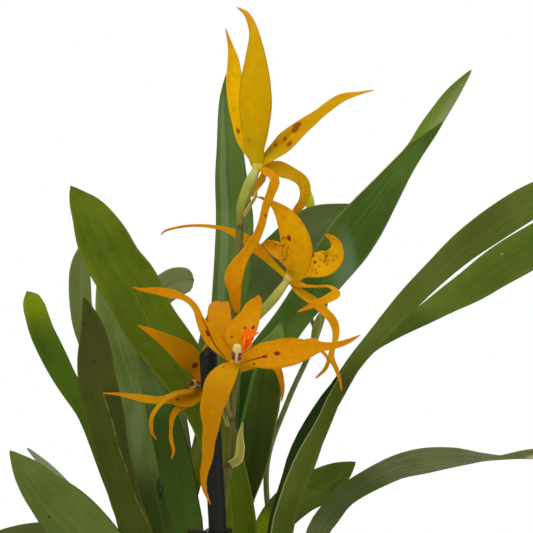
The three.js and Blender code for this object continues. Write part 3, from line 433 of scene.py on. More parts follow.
def evaluated(piece, **options):
    """A piece's mesh with its modifiers applied, as plain data."""
    depsgraph = bpy.context.evaluated_depsgraph_get()
    return bpy.data.meshes.new_from_object(piece.evaluated_get(depsgraph), depsgraph=depsgraph, **options)


def grown(name, kind, guide, values):
    """Grows a tree of that kind on a guide mesh, and returns what grew as a plain mesh object."""
    tree = bpy.data.node_groups.get(kind) or TREES[kind]()
    piece = bpy.data.objects.new(name, guide)
    bpy.context.scene.collection.objects.link(piece)
    modifier = piece.modifiers.new("Grow", "NODES")
    modifier.node_group = tree
    identifiers = {item.name: item.identifier for item in tree.interface.items_tree if item.in_out == "INPUT"}
    for label, value in values.items():
        modifier[identifiers[label]] = value
    shape = evaluated(piece, preserve_all_data_layers=True)
    piece.modifiers.remove(modifier)
    piece.data = shape
    shape.name = name
    shape.materials.clear()
    shape.materials.append(values["Material"])
    for polygon in shape.polygons:
        polygon.material_index = 0
    bpy.data.meshes.remove(guide)
    if len(shape.polygons) == 0:
        raise RuntimeError(f"{name}: nothing grew")
    return piece


def joined(name, pieces):
    """Makes one object of several."""
    with bpy.context.temp_override(active_object=pieces[0], selected_editable_objects=pieces):
        bpy.ops.object.join()
    pieces[0].name = name
    pieces[0].data.name = name
    return pieces[0]


def plain_copy(piece):
    """Applies a piece's modifiers."""
    shape = evaluated(piece)
    piece.modifiers.clear()
    piece.data = shape
    shape.name = piece.name
    return piece


def put_on_plant(piece, slot, *nodes):
    """A finished piece rides on the plant and stands for CAD nodes; its slot is not used."""
    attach(piece, "root")
    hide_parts(*nodes)


# ---------------------------------------------------------------- guide lines

def through(points, count):
    """Points in mm, joined by a centripetal Catmull-Rom line and walked in `count` equal steps, in metres."""
    knots = [Vector(point) * MM for point in points]
    knots = [2 * knots[0] - knots[1]] + knots + [2 * knots[-1] - knots[-2]]
    fine, substeps = [], 40
    for index in range(1, len(knots) - 2):
        before, start, end, after = knots[index - 1:index + 3]
        gap = (end - start).length ** 0.5
        gap_before = (start - before).length ** 0.5
        gap_after = (after - end).length ** 0.5
        leave = (start - before) / gap_before - (end - before) / (gap_before + gap) + (end - start) / gap
        arrive = (end - start) / gap - (after - start) / (gap + gap_after) + (after - end) / gap_after
        leave, arrive = leave * gap, arrive * gap
        for step in range(substeps):
            t = step / substeps
            fine.append(start + leave * t + (3 * (end - start) - 2 * leave - arrive) * t ** 2
                        + (2 * (start - end) + leave + arrive) * t ** 3)
    fine.append(knots[-2])
    reach = [0.0]
    for a, b in zip(fine, fine[1:]):
        reach.append(reach[-1] + (b - a).length)
    line, at = [], 0
    for step in range(count + 1):
        goal = reach[-1] * step / count
        while at < len(reach) - 2 and reach[at + 1] < goal:
            at += 1
        share = (goal - reach[at]) / max(reach[at + 1] - reach[at], 1e-9)
        line.append(fine[at].lerp(fine[at + 1], min(share, 1.0)))
    return line


def line_length(points):
    """The length in metres of the line through points in mm."""
    line = through(points, 40)
    return sum((b - a).length for a, b in zip(line, line[1:]))


def shares_of(points):
    """How far along a line each of its points lies, 0 to 1."""
    reach = [0.0]
    for a, b in zip(points, points[1:]):
        reach.append(reach[-1] + math.dist(a, b))
    return [step / reach[-1] for step in reach]


def points_of(shape):
    """A blade's guide points in mm, without the widths that stand beside them."""
    return [row[:3] for row in shape["line"]]


def width_at(shape, t):
    """A blade's width in mm at t: from its line's own widths, or from its peak, root and tip."""
    if "width" not in shape:
        marks, widths = shares_of(points_of(shape)), [row[3] for row in shape["line"]]
        last = len(marks) - 1
        low = max(index for index in range(last) if index == 0 or marks[index] <= t)
        slopes = []
        for index in (low, low + 1):
            before, after = max(index - 1, 0), min(index + 1, last)
            slopes.append((widths[after] - widths[before]) / (marks[after] - marks[before]))
        gap = marks[low + 1] - marks[low]
        share = held((t - marks[low]) / gap)
        bend = share * (1 - share) * gap
        width = mix(widths[low], widths[low + 1], smooth(share))
        return max(width + bend * ((1 - share) * slopes[0] - share * slopes[1]), LEAST_WIDTH)
    if t < shape["peak"]:
        return mix(shape["root"], shape["width"], smooth(t / shape["peak"]))
    past = (t - shape["peak"]) / (1 - shape["peak"])
    return mix(shape["width"], TIP_WIDTH, past ** shape["blunt"])


def facing_at(faces, t):
    """The way a blade's upper face looks at t, blended along the list."""
    place = t * (len(faces) - 1)
    low = min(int(place), max(len(faces) - 2, 0))
    first, second = Vector(faces[low]), Vector(faces[min(low + 1, len(faces) - 1)])
    return first.lerp(second, place - low).normalized()


def guide_line(points, faces, girth, count=72):
    """The mesh that a tree grows on: a line with the ways it faces and its girth."""
    line = through(points, count)
    mesh = bpy.data.meshes.new("guide")
    mesh.from_pydata(line, [(i, i + 1) for i in range(count)], [])
    mesh.attributes.new("facing", "FLOAT_VECTOR", "POINT")
    mesh.attributes.new("girth", "FLOAT", "POINT")
    for index in range(count + 1):
        t = index / count
        mesh.attributes["facing"].data[index].vector = facing_at(faces, t)
        mesh.attributes["girth"].data[index].value = girth(t)
    return mesh


def blade(name, shape, material, sizes, softness, wave, waves, wander, phase, rounding):
    """Grows one blade from its table line: widths and points in mm."""
    own = "width" not in shape
    width = max(row[3] for row in shape["line"]) if own else shape["width"]
    guide = guide_line(points_of(shape), shape["faces"], lambda t: width_at(shape, t) * MM)
    return grown(name, "Blade", guide, {
        "Stations": sizes.stations, "Sides": sizes.sides, "Own outline": float(own), "Width": width * MM,
        "Root width": shape.get("root", TIP_WIDTH) * MM, "Tip width": TIP_WIDTH * MM,
        "Widest at": shape.get("peak", 0.5), "Bluntness": shape.get("blunt", 2.6), "Tip rounding": rounding,
        "Fold depth": shape["keel"] * MM, "Fold softness": softness, "Thickness": sizes.thickness,
        "Edge wave": wave, "Waves": waves, "Outline wander": wander, "Phase": phase, "Material": material,
    })


def rounded_ends(t, length, start, end):
    """Shrinks a rod's girth to nothing over `start` and `end` metres at its two ends."""
    share = 1.0
    for reach, close in ((t * length, start), ((1 - t) * length, end)):
        if close and reach < close:
            share *= math.sqrt(max(0.0, 1 - (1 - reach / close) ** 2))
    return share


def stalk(name, points, girth, material, stations=40, sides=16, ribs=0, rib_depth=0.0):
    """Grows one round stalk; girth gives its radius in metres at t."""
    return grown(name, "Stalk", guide_line(points, TO_FRONT, girth), {
        "Stations": stations, "Sides": sides, "Ribs": float(ribs), "Rib depth": rib_depth,
        "Material": material,
    })


def rod(name, points, radius, ends, material, *form):
    """A stalk with rounded ends: `ends` are the lengths in metres over which they close."""
    length = line_length(points)
    return stalk(name, points, lambda t: radius(t) * rounded_ends(t, length, *ends), material, *form)


# ---------------------------------------------------------------- finishes

# how much light goes below a surface, how far its red, green and blue spread there, and how deep in metres
LEAF_GLOW = (0.06, (0.6, 1.0, 0.2), 0.0008)
PETAL_GLOW = (0.12, (1.0, 0.55, 0.08), 0.0012)
STEM_GLOW = (0.08, (0.8, 0.8, 0.3), 0.001)
COLUMN_GLOW = (0.15, (1.0, 0.7, 0.4), 0.0008)
BULB_GLOW = (0.06, (0.6, 1.0, 0.2), 0.001)


def finish(name, build):
    """A procedural material; build(w) gives what feeds its shader."""
    material = bpy.data.materials.new(name)
    material.use_nodes = True
    material.node_tree.nodes.clear()
    w = Wiring(material.node_tree)
    shader = w.node("ShaderNodeBsdfPrincipled", build(w))
    w.node("ShaderNodeOutputMaterial", {"Surface": shader.outputs[0]})
    return material


def surface(w, colour, rough, shine, height, strength, depth, glow=None):
    """What feeds a shader: its colour, roughness and shine, a bump `depth` metres deep, and its glow."""
    feeds = {"Base Color": colour, "Roughness": rough, "Specular IOR Level": shine}
    if glow:
        feeds["Subsurface Weight"], feeds["Subsurface Radius"], feeds["Subsurface Scale"] = glow
    bump = {"Height": height, "Strength": strength, "Distance": depth}
    feeds["Normal"] = w.node("ShaderNodeBump", bump).outputs[0]
    return feeds


def shade_of(colour, amount):
    """A colour made darker or lighter."""
    return tuple(min(1.0, level * amount) for level in colour[:3]) + (1.0,)


def slanted(w, across, place, line, wide):
    """How strongly a point lies on a line of (place, across) points, its side of it, and the line's span."""
    start, end = line[0], line[-1]
    middle = start[1]
    for first, second in zip(line, line[1:]):
        step = w.ranged(place, first[0], second[0], 0.0, second[1] - first[1], "LINEAR")
        middle = w.plus(step, middle)
    side = w.less(across, middle)
    span = w.times(w.ranged(place, start[0] - 0.015, start[0] + 0.015),
                   w.ranged(place, end[0] + 0.015, end[0] - 0.015))
    on_line = w.times(w.ranged(w.calc("ABSOLUTE", side), wide, wide * 0.4), span)
    return on_line, side, span


def reach_from(w, here, centre, size):
    """How far a point lies from a centre, in shares of a size; both in mm."""
    offset = w.vector("SUBTRACT", here, tuple(MM * value for value in centre))
    return w.vector("LENGTH", w.vector("DIVIDE", offset, tuple(MM * value for value in size)))


def fold_shade_and_line(w, colour, here, across, place, fold):
    """Paints shade onto one side of a leaf's fold, where that half lies in shadow, and draws the fold itself
    as a pale line.
    """
    crease, side, span = slanted(w, across, place, fold["along"], fold["wide"])
    for key, limit in (("left", 0.05), ("right", -0.05)):
        if key in fold:
            shaded = w.times(w.ranged(side, 0.0, limit, 0.0, fold[key]), span)
            colour = w.tint(shaded, colour, paint(*fold["shade"]))
    if fold.get("broken"):
        crease = w.times(crease, w.ranged(w.noise(here, 300.0, 2.0), 0.42, 0.56))
    return w.tint(w.times(crease, fold["line"]), colour, paint(*fold["tone"]))


def turned_part(w, colour, across, place, turn):
    """Paints the part of a leaf beyond a slanting limit, where it turns another side to the front: its paler
    underside, and painted light where that side turns to the light.
    """
    (across_from, place_from), (across_to, place_to) = turn["from"], turn["to"]
    limit = w.ranged(across, across_from, across_to, place_from, place_to, "LINEAR")
    past = w.ranged(w.less(place, limit), -0.003, 0.003, 0.0, turn["amount"])
    return w.tint(past, colour, w.wash(paint(*turn["tone"]), paint(*turn["far_tone"]), across, 0.8, -0.8))


def leaf_finish(name, look, seed):
    """A strap leaf: fine veins, a mid rib, margins, a coloured tip, folds with painted shade on one side,
    patches (some of them painted sheen or painted light), specks and scars.
    """
    green, light = paint(*look["green"]), paint(*look["light"])
    rib, tip, edge = (paint(*look.get(part, look["light"])) for part in ("rib", "tip", "edge"))
    vein, rib_amount, gloss = look.get("vein", 0.16), look.get("rib_amount", 0.25), look.get("gloss", 0.42)
    tip_from, tip_amount = look.get("tip_from", 0.9) + 0.04, look.get("tip_amount", 0.6)
    edge_from, edge_amount = look.get("edge_from", 0.9), look.get("edge_amount", 0.25)

    def build(w):
        across, place, face = w.parts(w.attribute("blade"))
        here = w.place()
        off_middle = w.calc("ABSOLUTE", across)
        streaks = w.noise(w.xyz(w.times(across, 7.0), w.times(place, 1.6), seed), 1.0, 3.0)
        veins = w.noise(w.xyz(w.times(across, 64.0), w.times(place, 3.0), seed + 3.0), 1.0, 2.0)
        clouds, mottle = w.noise(here, 34.0, 3.0), w.noise(here, 240.0, 3.0)
        body = w.plus(w.times(streaks, look.get("streak", 0.3)), w.times(clouds, 0.6), w.times(mottle, 0.15))
        colour = w.wash(green, light, body, 0.38, 0.7)
        colour = w.wash(colour, light, veins, 0.42, 0.7, vein)
        colour = w.wash(colour, shade_of(green, 0.7), veins, 0.46, 0.28, vein)
        # patches: some are the leaf's own tone, some are painted sheen or painted light
        for centre, size, tone, amount in look.get("patches", ()):
            colour = w.wash(colour, paint(*tone), reach_from(w, here, centre, size), 1.0, 0.35, amount)
        # painted shade on one side of the fold, and the fold's pale line
        if "fold" in look:
            colour = fold_shade_and_line(w, colour, here, across, place, look["fold"])
        # the turned part: the paler underside, partly painted light
        if "turn" in look:
            colour = turned_part(w, colour, across, place, look["turn"])
        groove = w.ranged(off_middle, 0.0, look.get("rib_width", 0.05), 1.0, 0.0)
        colour = w.tint(w.times(groove, w.ranged(place, 0.98, 0.8, 0.0, rib_amount)), colour, rib)
        colour = w.wash(colour, tip, w.plus(place, w.times(clouds, 0.08)), tip_from, 1.04, tip_amount)
        colour = w.wash(colour, edge, off_middle, edge_from, 0.985, edge_amount)
        colour = w.wash(colour, paint(120, 92, 60), place, 0.988, 0.998, look.get("scorch", 0.3))
        colour = w.wash(colour, paint(110, 124, 52), face, 0.02, -0.02, 0.25)
        if "specks" in look:
            clusters = w.ranged(w.noise(here, 60.0, 2.0), 0.5, 0.62, 0.0, look["specks"])
            marks = w.times(w.ranged(w.cells(here, 210.0), 0.16, 0.08), clusters)
            colour = w.tint(marks, colour, paint(48, 30, 18))
        if "scar" in look:
            torn = w.plus(reach_from(w, here, *look["scar"]), w.times(w.noise(here, 420.0, 4.0), 1.6))
            colour = w.wash(colour, paint(46, 46, 22), torn, 1.75, 1.35, 0.7)
            colour = w.wash(colour, paint(104, 106, 92), torn, 1.02, 0.9, 0.8)
        rough = w.ranged(w.plus(streaks, clouds), 0.7, 1.3, gloss + 0.08, gloss - 0.05)
        height = w.less(w.plus(w.times(veins, 0.5), w.times(streaks, 1.2)), w.times(groove, rib_amount))
        return surface(w, colour, rough, 0.07, height, 0.5, 0.0004, LEAF_GLOW)
    return finish(name, build)


def spot_field(w, shape, spots, here, length):
    """How far a point of a tepal lies from the nearest of its spots; inside one it is below 1."""
    position = w.attribute("blade")
    nearest = 9.0
    for across, place, wide, long in spots:
        half = width_at(shape, place) / 2
        scale = (half / wide, length / long, 0.0)
        offset = (-across * scale[0], -place * scale[1], 0.0)
        reach = w.vector("LENGTH", w.vector("MULTIPLY_ADD", position, scale, offset))
        nearest = w.calc("MINIMUM", reach, nearest)
    return w.plus(nearest, w.times(w.less(w.noise(here, 1300.0, 3.0), 0.5), 0.9))


def petal_finish(name, shape, look, seed, colours):
    """A tepal or a lip: waxy gold with faint veins, a callus, a mid line, freckles and spots."""
    length = line_length(points_of(shape)) / MM

    def tone_of(part, usual):
        return paint(*look[part]) if part in look else usual

    base, main = tone_of("base", colours.petal_gold), tone_of("main", colours.petal_gold)
    margin, tip = tone_of("margin", colours.petal_orange), tone_of("tip", colours.petal_orange)
    dark = tone_of("spot_tone", colours.petal_spot)

    def build(w):
        across, place = w.parts(w.attribute("blade"))[:2]
        here = w.place()
        off_middle = w.calc("ABSOLUTE", across)
        veins = w.noise(w.xyz(w.times(across, 26.0), w.times(place, 1.8), seed), 1.0, 2.0)
        clouds, mottle = w.noise(here, 160.0, 3.0), w.noise(here, 420.0, 2.0)
        colour = w.wash(base, main, place, 0.04, 0.3)
        colour = w.wash(colour, tip, w.plus(place, w.times(clouds, 0.15)), 0.72, 1.08)
        colour = w.wash(colour, margin, w.plus(off_middle, w.times(clouds, 0.2)), 0.75, 1.1, 0.22)
        colour = w.wash(colour, shade_of(main, 1.3), mottle, 0.52, 0.72, 0.3)
        colour = w.wash(colour, shade_of(margin, 0.86), mottle, 0.48, 0.3, 0.3)
        colour = w.wash(colour, shade_of(margin, 0.78), veins, 0.5, 0.3, 0.22)
        colour = w.wash(colour, shade_of(main, 1.18), clouds, 0.5, 0.72, 0.25)
        if "callus" in look:
            field = spot_field(w, shape, look["callus"], here, length)
            colour = w.wash(colour, paint(226, 120, 10), field, 1.3, 0.95, 0.5)
            colour = w.wash(colour, colours.callus, field, 1.06, 0.9, 0.95)
        if "mid_line" in look:
            *line, wide = look["mid_line"]
            shaky = w.plus(across, w.times(w.less(clouds, 0.5), 0.08))
            colour = w.tint(w.times(slanted(w, shaky, place, line, wide)[0], 0.9), colour, dark)
        if "freckles" in look:
            start, end, amount, side_from, side_to = (*look["freckles"], -1.3, 1.3)[:5]
            inside = w.times(w.ranged(place, start, start + 0.06), w.ranged(place, end, end - 0.06),
                             w.ranged(across, side_from, side_from + 0.2),
                             w.ranged(across, side_to, side_to - 0.2))
            cells = w.cells(here, 620.0)
            small = w.times(w.ranged(cells, 0.46, 0.3), w.ranged(w.noise(here, 330.0, 2.0), 0.4, 0.56))
            ring = w.times(small, w.ranged(cells, 0.1, 0.24, 0.45, 1.0))
            colour = w.tint(w.times(ring, inside, amount), colour, paint(128, 66, 6))
        if "faint" in look:
            field = spot_field(w, shape, look["faint"], here, length)
            colour = w.wash(colour, paint(146, 108, 6), field, 1.5, 0.4, 0.6)
        if "spots" in look:
            field = spot_field(w, shape, look["spots"], here, length)
            soft = look.get("spot_softness", 0.15)
            colour = w.wash(colour, paint(176, 96, 6), field, 1.5, 0.9, 0.45)
            colour = w.wash(colour, dark, field, 0.97 + soft, 0.97 - soft, 0.94)
        colour = w.wash(colour, shade_of(main, 1.35), off_middle, 0.93, 0.98, 0.5)
        height = w.plus(veins, w.times(clouds, 0.6))
        rough = w.ranged(clouds, 0.3, 0.7, 0.56, 0.42)
        return surface(w, colour, rough, 0.03, height, 0.35, 0.0003, PETAL_GLOW)
    return finish(name, build)


def stem_finish(name, colour, young, ribs=0.3, joints=(), foot=None, top=None):
    """A stalk: fine lengthwise ribs, paler patches, a darker foot and brown joints."""
    def build(w):
        place = w.parts(w.attribute("blade"))[1]
        here = w.place()
        grain = w.noise(w.vector("MULTIPLY", here, (900.0, 900.0, 70.0)), 1.0, 2.0)
        clouds = w.noise(here, 60.0, 3.0)
        tone = w.wash(colour, young, w.plus(clouds, w.times(grain, ribs)), 0.45, 0.85)
        tone = w.wash(tone, shade_of(colour, 0.7), grain, 0.5, 0.3, 0.3)
        if foot:
            tone = w.wash(tone, foot, place, 0.55, 0.1, 0.85)
        if top:
            tone = w.wash(tone, top, place, 0.6, 0.95, 0.7)
        for at, half, shade in joints:
            near = w.calc("ABSOLUTE", w.less(place, at))
            tone = w.wash(tone, shade, near, half, half * 0.4, 0.8)
        return surface(w, tone, 0.5, 0.12, grain, 0.4, 0.0003, STEM_GLOW)
    return finish(name, build)


def column_finish(name, colours, look):
    """The column: an amber foot, cream with maroon flanks, and a cap; or a cream ring round a maroon end."""
    def build(w):
        turn, place = w.parts(w.attribute("blade"))[:2]
        clouds = w.noise(w.place(), 700.0, 2.0)
        tone = w.wash(paint(190, 148, 14), colours.column, place, 0.3, 0.55)
        flank = w.calc("ABSOLUTE", w.less(w.calc("ABSOLUTE", turn), 0.5))
        flank = w.plus(flank, w.times(w.less(clouds, 0.5), 0.2))
        start, end = look["flanks"]
        span = w.times(w.ranged(place, start - 0.05, start + 0.05), w.ranged(place, end + 0.04, end - 0.04))
        tone = w.tint(w.times(w.ranged(flank, 0.05, 0.12), span), tone, paint(92, 28, 24))
        if "dark_end" in look:
            tone = w.wash(tone, paint(84, 22, 24), place, look["dark_end"] - 0.03, look["dark_end"] + 0.02)
        tone = w.wash(tone, paint(222, 204, 136), clouds, 0.5, 0.7, 0.5)
        tone = w.tint(w.times(w.ranged(clouds, 0.48, 0.3, 0.0, 0.7), span), tone, paint(122, 72, 40))
        return surface(w, tone, 0.4, 0.25, clouds, 0.25, 0.0002, COLUMN_GLOW)
    return finish(name, build)


def plastic_finish(name, colour, roughness, dust):
    """Moulded plastic with a fine grain, rubbed patches and a little dust."""
    def build(w):
        patches, grain = w.noise(w.place(), 40.0, 4.0), w.noise(w.place(), 1800.0, 2.0)
        tone = w.wash(colour, paint(122, 116, 102), patches, 0.5, 0.75, dust)
        tone = w.wash(tone, shade_of(colour, 1.6), grain, 0.4, 0.65, 0.25)
        rough = w.ranged(patches, 0.3, 0.7, roughness - 0.08, roughness + 0.1)
        return surface(w, tone, rough, 0.15, grain, 0.3, 0.0002)
    return finish(name, build)


def bark_finish(name, colour, toned):
    """Fir bark: layered brown with pale corky faces; loose chips differ by their own tone."""
    def build(w):
        here = w.place()
        layers = w.noise(w.vector("MULTIPLY", here, (420.0, 420.0, 1300.0)), 1.0, 4.0)
        clouds = w.noise(here, 90.0, 4.0)
        tone = w.wash(shade_of(colour, 0.45), colour, layers, 0.35, 0.7)
        tone = w.wash(tone, paint(150, 104, 66), clouds, 0.5, 0.75, 0.6)
        if toned:
            dark, pale = w.parts(w.attribute("tone"))[:2]
            tone = w.wash(tone, paint(72, 44, 28), dark, 0.0, 1.0, 0.55)
            tone = w.wash(tone, paint(168, 126, 86), pale, 0.72, 1.0, 0.6)
        return surface(w, tone, 0.92, 0.2, w.plus(layers, w.times(clouds, 1.5)), 0.9, 0.0012)
    return finish(name, build)


def bulb_finish(name, colour):
    """A pseudobulb: glossy green, yellower on its ridges, darker in its furrows as painted shade, browned at
    its foot.
    """
    def build(w):
        here = w.place()
        clouds = w.noise(here, 70.0, 4.0)
        fibres = w.noise(w.vector("MULTIPLY", here, (1100.0, 1100.0, 60.0)), 1.0, 2.0)
        # painted shade: the furrows darker and the ridges lighter, from the ridge mark and clouds
        ridge_and_furrow_shade = w.plus(w.attribute("ridge", "Fac"), clouds)
        tone = w.wash(shade_of(colour, 0.72), colour, ridge_and_furrow_shade, 0.5, 1.4)
        tone = w.wash(tone, paint(160, 158, 70), clouds, 0.55, 0.75, 0.5)
        tone = w.wash(tone, shade_of(colour, 0.6), fibres, 0.5, 0.3, 0.3)
        height = w.plus(w.parts(here)[2], w.times(clouds, 0.01))
        tone = w.wash(tone, paint(112, 84, 48), height, 0.108, 0.098, 0.7)
        return surface(w, tone, 0.4, 0.4, w.plus(fibres, clouds), 0.35, 0.0004, BULB_GLOW)
    return finish(name, build)


def paper_finish(name, colour):
    """Dry sheath: papery tan with fibres and paler clouds."""
    def build(w):
        here = w.place()
        fibres = w.noise(w.vector("MULTIPLY", here, (1500.0, 1500.0, 90.0)), 1.0, 3.0)
        tone = w.wash(shade_of(colour, 0.5), colour, fibres, 0.3, 0.7)
        tone = w.wash(tone, paint(206, 186, 150), w.noise(here, 110.0, 3.0), 0.45, 0.7, 0.6)
        return surface(w, tone, 0.8, 0.25, fibres, 0.7, 0.0004)
    return finish(name, build)


def floor_finish(name):
    """Plain pale floor with the faintest mottle."""
    def build(w):
        clouds = w.noise(w.place(), 6.0, 2.0)
        tone = w.wash((0.78, 0.78, 0.78, 1.0), (0.82, 0.82, 0.815, 1.0), clouds, 0.3, 0.7)
        return {"Base Color": tone, "Roughness": 0.7, "Specular IOR Level": 0.2}
    return finish(name, build)


# ---------------------------------------------------------------- the plant's lines, in mm

BULB_PLACES = {"front": (2, 4), "left": (-28, 2), "right": (24, -12), "back_left": (-20, 30),
               "back_right": (10, 38)}
STAKE_FOOT = (2.5, -18, 40)
STAKE_AT_BARK = (-0.1, -18)
STAKE_TOP = (-11, -18, 288)
STAKE_TIP = (-11.05, -18, 289)
CLIP_BOTTOM = 207
JOINT_HEIGHTS = (140, 190, 241, 259, 292, 335)  # of the joints along the flower spike's stem
FADED_BELOW = 285  # buds that start lower than this are slimmer and browner
BUD_HALF = 7.28  # from a bud's middle to its end
TIP_WIDTH = 1  # of a blade whose points have no width
LEAST_WIDTH = 0.3
TO_FRONT = ((0, -1, 0),)  # the way that every stalk's upper side faces

